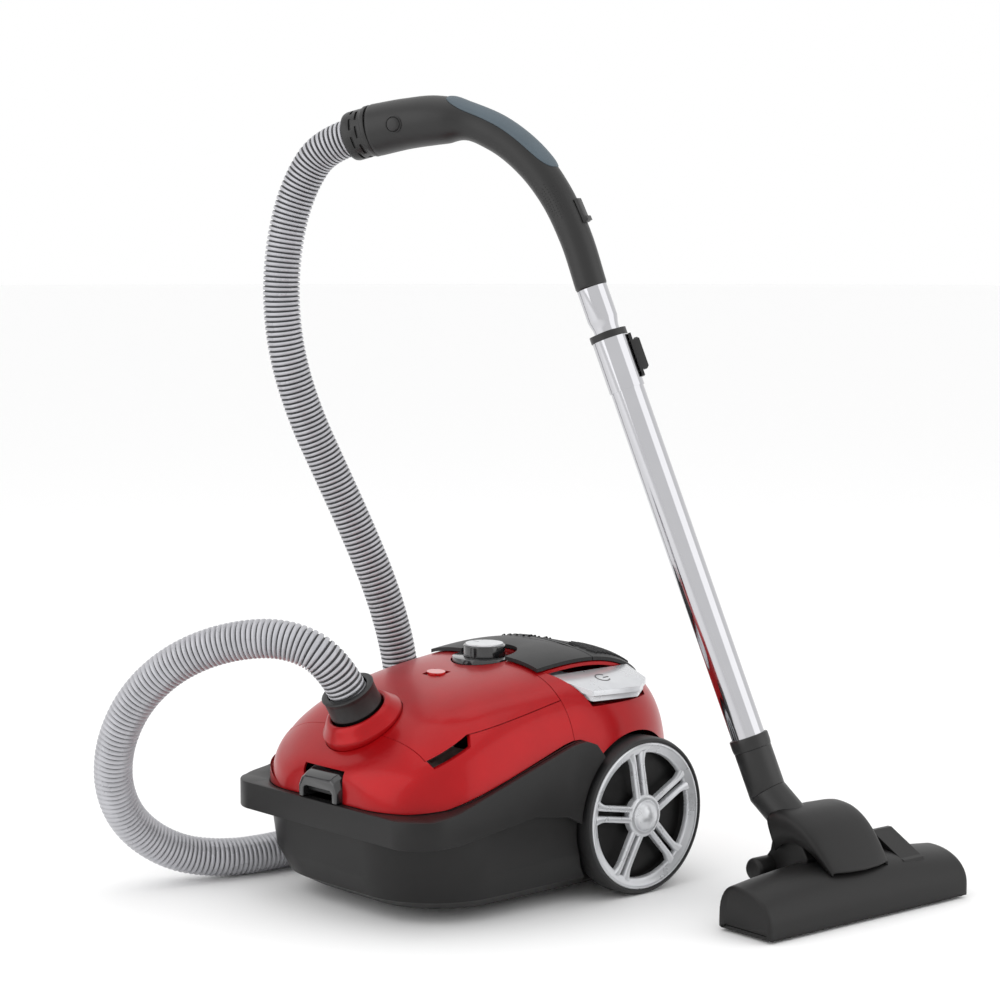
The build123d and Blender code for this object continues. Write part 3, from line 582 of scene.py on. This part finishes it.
def add_dot(vertices, faces, place, out, radius, height):
    """A low dome on a surface."""
    across = out.orthogonal().normalized()
    along = out.cross(across)
    base = len(vertices)
    for size, rise in ((1.0, -0.3), (0.85, 0.5), (0.5, 0.9)):
        for step in range(DOT_SIDES):
            turn = 2 * math.pi * step / DOT_SIDES
            flat = across * math.cos(turn) + along * math.sin(turn)
            vertices.append(place + flat * (radius * size * MM) + out * (height * rise * MM))
    vertices.append(place + out * (height * MM))
    add_loops(faces, base, 3, DOT_SIDES)
    top = base + 2 * DOT_SIDES
    for step in range(DOT_SIDES):
        faces.append((top + step, top + (step + 1) % DOT_SIDES, top + DOT_SIDES))


def make_handle_dots(form):
    """Rows of dots on the pad, and an oval of small ones on the near side."""
    vertices, faces = [], []
    for i in range(2, DOT_ROWS - 1):
        t = i / DOT_ROWS
        share = PAD_FIRST + (PAD_LAST - PAD_FIRST) * t
        half = pad_width(t)
        for j in range(-4, 5):
            angle = DOT_TURN * (j + (0.5 if i % 2 else 0.0))
            if abs(angle) < half - math.radians(8):
                place, out = form.surface(share, angle, PAD_LIFT)
                add_dot(vertices, faces, place, out, DOT_RADIUS, DOT_HEIGHT)
    dots = new_piece("handle_pad_dots", vertices, faces, "grip_rubber")
    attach(dots, "handle")
    vertices, faces = [], []
    for i in range(-6, 7):
        for j in range(-2, 3):
            if (i / 6.5) ** 2 + (j / 2.6) ** 2 < 1:
                place, out = form.surface(OVAL_MIDDLE + 0.0095 * i, math.radians(88 + 12 * j))
                add_dot(vertices, faces, place, out, 0.7, 0.45)
    oval = new_piece("handle_oval_dots", vertices, faces, "black_satin")
    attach(oval, "handle")


def make_round_button(form):
    """The round button on the thick end's near side."""
    centre, out = form.surface(BUTTON_SHARE, BUTTON_TURN)
    button = spun_piece("handle_button", centre, out, BUTTON_PROFILE, 40, "black_satin")
    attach(button, "handle")


def make_handle():
    """The handle's shell with its pad, dots and round button."""
    form = HandleForm()
    make_handle_body(form)
    make_handle_pad(form)
    make_handle_dots(form)
    make_round_button(form)


# ---------------------------------------------------------------- wheels
WHEEL_MIDDLE_Z = 82.0
WHEEL_TURNS = 96
# radius, and distance out from the canister's middle
RIM_LIP = [(76.4, 150.0), (76.4, 158.6), (75.4, 159.6), (73.8, 159.8), (72.2, 159.0), (69.0, 156.8),
           (66.6, 156.0), (65.4, 155.0), (65.0, 150.0)]
HUB_FORM = [(0.01, 168.0), (4.0, 167.7), (8.0, 166.6), (11.5, 164.8), (14.0, 162.6), (15.4, 160.4),
            (15.8, 159.0), (16.4, 158.6), (18.4, 159.2), (20.6, 158.8), (22.0, 157.6), (22.4, 155.0),
            (22.4, 150.0)]
RIM_FACE = 156.5
SPOKE_COUNT = 5
SPOKE_STEPS = 12
SPOKE_FROM, SPOKE_RUN = 17.0, 51.0    # radius where a spoke starts, and its length
SPOKE_FLARE = 0.72                    # share of its length where a spoke starts to widen
# share of the spoke's half width, and rise
SPOKE_SECTION = [(-1.0, -6.0), (-1.0, -1.2), (-0.75, -0.1), (-0.3, 0.5), (0.3, 0.5), (0.75, -0.1),
                 (1.0, -1.2), (1.0, -6.0)]
SPOKE_START = math.radians(8.0)
SPOKE_OFFSET = 5.6
SPOKE_HALF = 3.1


def wheel_place(side, radius, turn, out):
    """A place on a rear wheel: radius and turn about its axle, out from the canister's middle."""
    return row(side * out, -radius * math.sin(turn), WHEEL_MIDDLE_Z + radius * math.cos(turn))


def spoke_rows(side, turn, way):
    """One of a spoke's two bars, from the hub out to the rim."""
    rows = []
    for step in range(SPOKE_STEPS + 1):
        t = step / SPOKE_STEPS
        radius = SPOKE_FROM + SPOKE_RUN * t
        flare = max(0.0, (t - SPOKE_FLARE) / (1 - SPOKE_FLARE)) ** 2
        offset = way * (SPOKE_OFFSET + 3.2 * flare)
        half = SPOKE_HALF + 2.6 * flare
        height = RIM_FACE + 1.6 * (1 - t) ** 2
        line = []
        for across, rise in SPOKE_SECTION:
            sideways = offset + across * half
            reach = math.hypot(radius, sideways)
            angle = turn + math.atan2(sideways, radius)
            line.append(wheel_place(side, reach, angle, height + rise))
        rows.append(line)
    return rows


def make_wheel_face(side, name):
    """Bright ring, five twin spokes and a domed hub, seen from outside."""
    vertices, faces = [], []
    for profile in (RIM_LIP, HUB_FORM):
        rings = []
        for step in range(WHEEL_TURNS + 1):
            turn = 2 * math.pi * step / WHEEL_TURNS
            rings.append([wheel_place(side, radius, turn, out) for radius, out in profile])
        add_strip(vertices, faces, rings)
    for index in range(SPOKE_COUNT):
        turn = SPOKE_START + 2 * math.pi * index / SPOKE_COUNT
        for way in (-1, 1):
            add_strip(vertices, faces, spoke_rows(side, turn, way))
    rim = new_piece(name, vertices, faces, "silver_plastic")
    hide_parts("wheel_rim_left" if side > 0 else "wheel_rim_right")
    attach(rim, "wheel_left" if side > 0 else "wheel_right")


# ---------------------------------------------------------------- floor head
HEAD_CENTRE = (341.5, 96.0)
HEAD_TURN = math.radians(-2.55)
HEAD_HALF = 143.0
HEAD_FRONT = 42.0
HEAD_END_BACK = -29.0
HEAD_MIDDLE_BACK = -42.0
HEAD_END_TOP = 48.0
HEAD_MIDDLE_TOP = 57.0
HEAD_CROWN = -8.0         # where the head is highest
HEAD_EDGE = 3.2           # its lower edge above the floor
SHOULDER_FRONT, SHOULDER_BACK = 15.0, 14.0    # heights where the front and back start to curve


def head_place(x, y, z):
    """A place on the floor head: x is ahead of its middle, y to its left."""
    cosine, sine = math.cos(HEAD_TURN), math.sin(HEAD_TURN)
    return row(HEAD_CENTRE[0] + x * cosine - y * sine, HEAD_CENTRE[1] + x * sine + y * cosine, z)


def head_back(y):
    """Rear edge of the head at one place across it, further back in the middle."""
    return HEAD_MIDDLE_BACK - (HEAD_MIDDLE_BACK - HEAD_END_BACK) * (abs(y) / HEAD_HALF) ** 2.2


def head_outline(y, inset):
    """Side section of the head at y, from its front bottom edge over the top to the back."""
    share = abs(y) / HEAD_HALF
    top = HEAD_MIDDLE_TOP - (HEAD_MIDDLE_TOP - HEAD_END_TOP) * share ** 1.7 - inset
    back = head_back(y) + inset
    front = HEAD_FRONT - inset
    low = HEAD_EDGE + inset
    points = [(front, low), (front, 8.0), (front, SHOULDER_FRONT)]
    for step in range(1, 15):
        turn = math.pi / 2 * step / 14
        points.append((HEAD_CROWN + (front - HEAD_CROWN) * math.cos(turn) ** 0.9,
                       SHOULDER_FRONT + (top - SHOULDER_FRONT) * math.sin(turn) ** 0.95))
    for step in range(1, 9):
        turn = math.pi / 2 * step / 8
        points.append((HEAD_CROWN - (HEAD_CROWN - back) * math.sin(turn),
                       SHOULDER_BACK + (top - SHOULDER_BACK) * math.cos(turn) ** 0.8))
    points += [(back, 8.0), (back, 5.0), (back + 3, low)]
    return points


def make_head_body():
    """The head's shell, with rounded end edges and an open underside."""
    vertices, faces = [], []
    steps = 60
    ends = [(HEAD_HALF, 5.0), (HEAD_HALF, 1.6), (HEAD_HALF - 0.5, 0.6), (HEAD_HALF - 1.6, 0.0)]
    stations = [(-y, inset) for y, inset in ends]
    for step in range(1, steps):
        stations.append((-HEAD_HALF + 2 * HEAD_HALF * step / steps, 0.0))
    stations += reversed(ends)
    rings = []
    for y, inset in stations:
        rings.append([head_place(x, y, z) for x, z in head_outline(y, inset)])
    add_strip(vertices, faces, rings)
    count = len(rings[0])
    faces.append(tuple(range(count)))
    faces.append(tuple(reversed(range((len(rings) - 1) * count, len(rings) * count))))
    body = new_piece("head_body_shell", vertices, faces, "charcoal")
    smooth_by_angle(body)
    wall = body.modifiers.new("wall", "SOLIDIFY")
    wall.thickness = 1.5 * MM
    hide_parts("head_body")
    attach(body, "head")


# The hood's middle line, from its back edge to its front lip: x and z.
HOOD_LINE = [(-60.0, 97.0), (-46.0, 101.0), (-28.0, 99.0), (-12.0, 91.5), (1.0, 81.0), (11.0, 70.0),
             (19.0, 60.0), (25.0, 51.0)]
HOOD_BACK_HALF, HOOD_LIP_HALF = 49.0, 39.0
HOOD_SQUARENESS = 0.24    # power of the cross section's curve; 1 is an ellipse


def make_head_hood():
    """Strap-shaped hood over the neck, arched across and lower at its lip."""
    knots = np.linspace(0, 1, len(HOOD_LINE))
    xs = np.array([point[0] for point in HOOD_LINE])
    zs = np.array([point[1] for point in HOOD_LINE])
    lines, columns = 30, 36
    vertices, faces, rings = [], [], []
    for i in range(lines + 1):
        t = i / lines
        x = float(through(knots, xs, t))
        z = float(through(knots, zs, t))
        half = HOOD_BACK_HALF - (HOOD_BACK_HALF - HOOD_LIP_HALF) * t
        depth = 30.0 * (1 - t) + 4.0
        line = []
        for j in range(columns + 1):
            turn = math.pi * j / columns
            cosine, sine = math.cos(turn), math.sin(turn)
            across = math.copysign(abs(cosine) ** HOOD_SQUARENESS, cosine)
            fall = depth * (1 - abs(sine) ** HOOD_SQUARENESS)
            crown = 2.5 * (1 - across ** 2)
            bow = 7.0 * (1 - across ** 2) * t ** 3
            ahead = x + bow + 0.45 * fall * (1 - t)
            line.append(head_place(ahead, half * across, z - fall + crown - bow * 0.5))
        rings.append(line)
    add_strip(vertices, faces, rings)
    hood = new_piece("head_hood_shell", vertices, faces, "charcoal")
    smooth_by_angle(hood)
    thick = hood.modifiers.new("thick", "SOLIDIFY")
    thick.thickness = 0.0028
    thick.offset = 0.0
    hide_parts("head_hood")
    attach(hood, "head")


LEVER_OUTLINE = [(26.0, 42.0), (24.5, 47.5), (20.0, 49.0), (-20.0, 70.5), (-25.0, 70.5), (-27.0, 67.0),
                 (-25.0, 63.5), (-12.0, 55.0), (0.0, 48.0), (6.0, 44.0), (26.0, 42.0)]
LEVER_MIDDLE_Z = 57.0
# place across the head, and size of the outline there
LEVER_STATIONS = [(65.0, 0.994), (65.6, 0.9991), (67.5, 1.0), (92.5, 1.0), (94.4, 0.9991), (95.0, 0.994)]


def make_head_pedal():
    """Lever on the far side of the head, raised at the back."""
    vertices, faces, rings = [], [], []
    for y, size in LEVER_STATIONS:
        rings.append([head_place(x * size, y, LEVER_MIDDLE_Z + (z - LEVER_MIDDLE_Z) * size)
                      for x, z in LEVER_OUTLINE])
    add_prism(vertices, faces, rings)
    pedal = new_piece("head_pedal_lever", vertices, faces, "charcoal", smooth=False)
    bevel(pedal, 1.2, 3)
    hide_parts("head_pedal")
    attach(pedal, "head_pedal")


CRADLE_PROFILE = [(0.0, 0.0), (8.5, 0.0), (10.4, 0.8), (11.6, 2.4), (12.0, 4.5), (12.0, 24.0), (0.0, 24.0)]
CRADLE_X, CRADLE_Z = -60.0, 42.0
CHEEK_OUTLINE = [(-70.0, 34.0), (-66.0, 50.0), (-58.0, 60.0), (-54.0, 78.0), (-44.0, 86.0), (-20.0, 84.0),
                 (-6.0, 60.0), (-10.0, 30.0), (-60.0, 28.0)]


def make_head_drum():
    """The tilting neck's cradle behind the head: its round ends, and a cheek on each side of the neck."""
    axis = (head_place(0, 1, 0) - head_place(0, 0, 0)).normalized()
    for name, y, way in (("head_cradle_near", -66.0, 1), ("head_cradle_far", 66.0, -1)):
        place = head_place(CRADLE_X, y, CRADLE_Z)
        drum = spun_piece(name, place, axis * way, CRADLE_PROFILE, 40, "charcoal")
        smooth_by_angle(drum)
        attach(drum, "head")
    outline = CHEEK_OUTLINE + CHEEK_OUTLINE[:1]
    for name, near, far in (("head_cheek_near", -44.0, -26.0), ("head_cheek_far", 26.0, 44.0)):
        vertices, faces = [], []
        add_prism(vertices, faces, [[head_place(x, y, z) for x, z in outline] for y in (near, far)])
        cheek = new_piece(name, vertices, faces, "charcoal", smooth=False)
        bevel(cheek, 2.0, 3)
        smooth_by_angle(cheek)
        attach(cheek, "head")


BRUSH_SLOTS = [(-8.5, -4.5), (24.5, 28.5)]   # back and front edge of each slot in the sole
SLOT_HALF = 124.5
SOLE_HALF = 140.5
SOLE_INSET = 2.0          # from the head's front and back edges
SOLE_TOP = 6.5
SOLE_LOW = 2.2
SOLE_RIB = 0.8


def add_sole_band(vertices, faces, span, back_edge=None, front_edge=None):
    """A ribbed bar of the sole over a span across the head. An edge that isn't given is the head's own."""
    low_y, high_y, steps = span
    rings = []
    for step in range(steps + 1):
        y = low_y + (high_y - low_y) * step / steps
        back = head_back(y) + SOLE_INSET if back_edge is None else back_edge
        front = HEAD_FRONT - SOLE_INSET if front_edge is None else front_edge
        low = SOLE_LOW + (SOLE_RIB if step % 4 < 2 else 0.0)
        corners = ((back, SOLE_TOP), (back, low), (front, low), (front, SOLE_TOP), (back, SOLE_TOP))
        rings.append([head_place(x, y, z) for x, z in corners])
    add_prism(vertices, faces, rings)


def make_sole():
    """Sole plate under the head, following its tapered plan, with a slot for each brush."""
    vertices, faces = [], []
    rear_slot, front_slot = BRUSH_SLOTS
    middle = (-SLOT_HALF, SLOT_HALF, 64)
    add_sole_band(vertices, faces, (-SOLE_HALF, -SLOT_HALF, 4))
    add_sole_band(vertices, faces, (SLOT_HALF, SOLE_HALF, 4))
    add_sole_band(vertices, faces, middle, front_edge=rear_slot[0])
    add_sole_band(vertices, faces, middle, rear_slot[1], front_slot[0])
    add_sole_band(vertices, faces, middle, back_edge=front_slot[1])
    sole = new_piece("head_sole", vertices, faces, "charcoal", smooth=False)
    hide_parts("sole_plate")
    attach(sole, "head")


WAND_AXIS = Vector((-0.3209, -0.1519, 0.9348)).normalized()
SLEEVE_TOP = (243.5, 64.4, 165.0)


LIP_PROFILE = [(19.2, -9.0), (20.0, -8.0), (20.4, -4.0), (20.4, 3.8), (19.8, 4.8), (18.2, 5.0), (17.6, 4.4),
               (17.6, 0.0), (19.2, 0.0), (19.2, -9.0)]


def make_sleeve_lip():
    """Collar at the sleeve's mouth, round the lower tube."""
    lip = spun_piece("sleeve_lip", row(*SLEEVE_TOP), WAND_AXIS, LIP_PROFILE, 56, "black_satin")
    smooth_by_angle(lip)
    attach(lip, "hose_set")


# ---------------------------------------------------------------- canister trim
def surface_tree(name):
    """A CAD node's surface, for dropping points onto it from above."""
    node = frame["nodes"][name]
    vertices = [node.matrix_world @ vertex.co for vertex in node.data.vertices]
    polygons = [list(polygon.vertices) for polygon in node.data.polygons]
    return BVHTree.FromPolygons(vertices, polygons)


def laid_line(tree, spots, lowest=0.0):
    """Spots (x, y, lift) dropped onto a surface and lifted off it, or None if one of them misses."""
    line = []
    for x, y, lift in spots:
        place = row(x, y, 0)
        hit = tree.ray_cast(Vector((place.x, place.y, 0.5)), Vector((0, 0, -1)))[0]
        if hit is None or hit.z < lowest:
            return None
        line.append(hit + Vector((0, 0, lift * MM)))
    return line


def add_laid_strip(vertices, faces, lines):
    """A strip from the lines that didn't miss the surface."""
    kept = [line for line in lines if line is not None]
    if len(kept) > 2:
        add_strip(vertices, faces, kept)


RIB_COUNT = 17
RIB_STEP = 6.4
RIB_SLANT = math.radians(-32)
RIB_START = (26.0, -20.0)     # x and y where the first rib begins
RIB_LENGTH_STEPS = 25
RIB_LENGTH_STEP = 2.4
# place across a rib, and lift off the surface
GRILLE_RIB_SECTION = [(-1.5, -0.4), (-1.1, 1.3), (-0.5, 1.9), (0.5, 1.9), (1.1, 1.3), (1.5, -0.4)]
GRILLE_LOWEST = 0.19


def on_grille(place):
    """Whether a place is inside the ribbed part of the grille."""
    return abs(place.x) <= 79 and 3 < place.y < 76 - 0.25 * abs(place.x)


def make_grille_ribs():
    """Slanted ribs over the exhaust grille, laid on its surface."""
    tree = surface_tree("exhaust_grille")
    for side, label in ((1, "left"), (-1, "right")):
        vertices, faces = [], []
        ahead = Vector((side * math.cos(RIB_SLANT), -math.sin(RIB_SLANT), 0))
        wide = Vector((-ahead.y, ahead.x, 0))
        for index in range(RIB_COUNT):
            start = Vector((side * RIB_START[0], RIB_START[1] + index * RIB_STEP, 0))
            lines = []
            for step in range(RIB_LENGTH_STEPS):
                centre = start + ahead * (RIB_LENGTH_STEP * step)
                if on_grille(centre):
                    spots = [(*(centre + wide * across).xy, lift) for across, lift in GRILLE_RIB_SECTION]
                    lines.append(laid_line(tree, spots, GRILLE_LOWEST))
            add_laid_strip(vertices, faces, lines)
        ribs = new_piece("grille_ribs_" + label, vertices, faces, "dark_grey")
        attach(ribs, "exhaust_grille")


SIGN_PLACE = (108.0, -14.0)
SIGN_RADIUS = 7.5
SIGN_GAP = math.radians(40)   # half the gap at the top of the power mark's ring
SIGN_SECTION = [(-0.8, -0.2), (-0.6, 0.45), (0.6, 0.45), (0.8, -0.2)]


def make_pedal_signs():
    """A generic mark on each pedal: a ring with a bar, and the power pedal's ring is open at the bar."""
    for side, body, name in ((1, "power_pedal", "power_mark"), (-1, "rewind_pedal", "rewind_mark")):
        tree = surface_tree(body)
        middle_x, middle_y = side * SIGN_PLACE[0], SIGN_PLACE[1]
        gap = SIGN_GAP if side > 0 else 0.0
        start = gap + (math.pi / 2 if side > 0 else 0.0)
        ring, bar = [], []
        for step in range(33):
            turn = start + (2 * math.pi - 2 * gap) * step / 32
            cosine, sine = math.cos(turn), math.sin(turn)
            ring.append(laid_line(tree, [(middle_x + (SIGN_RADIUS + across) * cosine,
                                          middle_y + (SIGN_RADIUS + across) * sine, lift)
                                         for across, lift in SIGN_SECTION]))
        for step in range(7):
            bar.append(laid_line(tree, [(middle_x + across, middle_y + 1.0 + 1.2 * step, lift)
                                        for across, lift in SIGN_SECTION]))
        vertices, faces = [], []
        add_laid_strip(vertices, faces, ring)
        add_laid_strip(vertices, faces, bar)
        mark = new_piece(name, vertices, faces, "dark_print")
        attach(mark, body)


LATCH_LOW = 117.5
LATCH_HEIGHT = 31.5
LATCH_OUTLINE = [(-32.0, LATCH_LOW), (-32.0, 134.0), (-27.5, 145.0), (-22.0, 149.0), (22.0, 149.0),
                 (27.5, 145.0), (32.0, 134.0), (32.0, LATCH_LOW), (24.5, LATCH_LOW), (24.5, 130.5),
                 (21.0, 134.5), (-21.0, 134.5), (-24.5, 130.5), (-24.5, LATCH_LOW), (-32.0, LATCH_LOW)]
LATCH_STATIONS = [(-272.0, 0.0), (-284.0, 0.0), (-292.0, 1.5), (-300.0, 5.5), (-304.5, 9.5)]   # y and slope
LATCH_PLATE = [(-24.5, LATCH_LOW), (24.5, LATCH_LOW), (24.5, 134.5), (-24.5, 134.5)]


def make_latch_hood():
    """Sloping hood round the latch's finger recess, and the plate at the back of it."""
    rings = []
    for y, lean in LATCH_STATIONS:
        rings.append([row(x * (1 - 0.006 * lean), y, z - lean * (z - LATCH_LOW) / LATCH_HEIGHT)
                      for x, z in LATCH_OUTLINE])
    vertices, faces = [], []
    add_prism(vertices, faces, rings)
    hood = new_piece("latch_hood", vertices, faces, "black_gloss", smooth=False)
    bevel(hood, 1.2, 3, 20)
    smooth_by_angle(hood)
    sheet = LATCH_PLATE + LATCH_PLATE[:1]
    vertices, faces = [], []
    add_prism(vertices, faces, [[row(x, y, z) for x, z in sheet] for y in (-278.0, -276.0)])
    plate = new_piece("latch_back", vertices, faces, "black_gloss", smooth=False)
    for piece in (hood, plate):
        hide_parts("latch_housing")
        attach(piece, "canister")


# Width of the rounding on the CAD nodes whose outlines catch the light, in millimetres.
EDGE_WIDTHS = {
    "power_pedal": 1.6, "rewind_pedal": 1.6, "belt_rail": 1.2, "knob_bezel": 0.8, "tube_button": 0.6,
    "suction_slider": 0.8, "hose_connector": 0.4, "hose_cuff": 0.4, "head_sleeve": 0.5, "inlet_ring": 0.6,
    "lid_latch": 0.6,
}


def soften_edges():
    """Small rounded edges, made before the smoothing that each CAD node already has."""
    for name, width in EDGE_WIDTHS.items():
        obj = frame["nodes"][name]
        weld = obj.modifiers.new("weld", "WELD")
        weld.merge_threshold = CAD_GAP
        bevel(obj, width, 2, 40)
        obj.modifiers.move(obj.modifiers.find("weld"), 0)
        obj.modifiers.move(obj.modifiers.find("edge"), 1)


# ---------------------------------------------------------------- stage and light
FLOOR_RADIUS = 25.0
FLOOR_SIDES = 96
FLOOR_SHADE = 0.97
WORLD_STRENGTH = 1.0
LIGHT_TARGET = Vector((0, 0, 0.35))
# Name; metres ahead of the target, to its right and above it, as the camera sees it; width, height, watts.
SOFT_BOXES = [
    ("left_box", -0.9, -2.0, 0.9, 2.2, 2.2, 14.0),
    ("right_box", -0.7, 2.1, 0.7, 2.0, 2.2, 10.0),
    ("top_box", 0.1, 0.0, 2.4, 2.8, 2.4, 10.0),
]


def make_floor():
    """A wide pale disc, so that every side of the object can be seen."""
    rim = []
    for side in range(FLOOR_SIDES):
        turn = 2 * math.pi * side / FLOOR_SIDES
        rim.append((FLOOR_RADIUS * math.cos(turn), FLOOR_RADIUS * math.sin(turn), 0.0))
    mesh = bpy.data.meshes.new("studio_floor")
    mesh.from_pydata(rim, [], [tuple(range(FLOOR_SIDES))])
    floor = bpy.data.objects.new("studio_floor", mesh)
    bpy.context.scene.collection.objects.link(floor)
    material, *_, principled = shader("pale_paper")
    principled.inputs["Base Color"].default_value = (FLOOR_SHADE, FLOOR_SHADE, FLOOR_SHADE, 1)
    principled.inputs["Roughness"].default_value = 0.9
    mesh.materials.append(material)


def add_light(name, place, width, height, power):
    """A rectangular soft light that faces the object."""
    data = bpy.data.lights.new(name, "AREA")
    data.shape = "RECTANGLE"
    data.size = width
    data.size_y = height
    data.energy = power
    light = bpy.data.objects.new(name, data)
    light.location = place
    light.rotation_euler = (LIGHT_TARGET - place).to_track_quat("-Z", "Y").to_euler()
    bpy.context.scene.collection.objects.link(light)


def make_lights():
    """An even pale surround, with soft boxes placed from the camera's heading."""
    world = bpy.data.worlds.new("studio")
    world.use_nodes = True
    background = world.node_tree.nodes["Background"]
    background.inputs["Color"].default_value = (1, 1, 1, 1)
    background.inputs["Strength"].default_value = WORLD_STRENGTH
    bpy.context.scene.world = world
    heading = Vector((CAMERA_HEADING[0], CAMERA_HEADING[1], 0)).normalized()
    right = Vector((heading.y, -heading.x, 0))
    for name, ahead, aside, above, width, height, power in SOFT_BOXES:
        place = LIGHT_TARGET + heading * ahead + right * aside + Vector((0, 0, above))
        add_light(name, place, width, height, power)


make_camera()
dress_nodes()
make_hose()
make_handle()
make_wheel_face(1, "wheel_face_left")
make_wheel_face(-1, "wheel_face_right")
make_head_body()
make_head_hood()
make_head_pedal()
make_head_drum()
make_sole()
make_sleeve_lip()
make_grille_ribs()
make_pedal_signs()
make_latch_hood()
soften_edges()
make_floor()
make_lights()
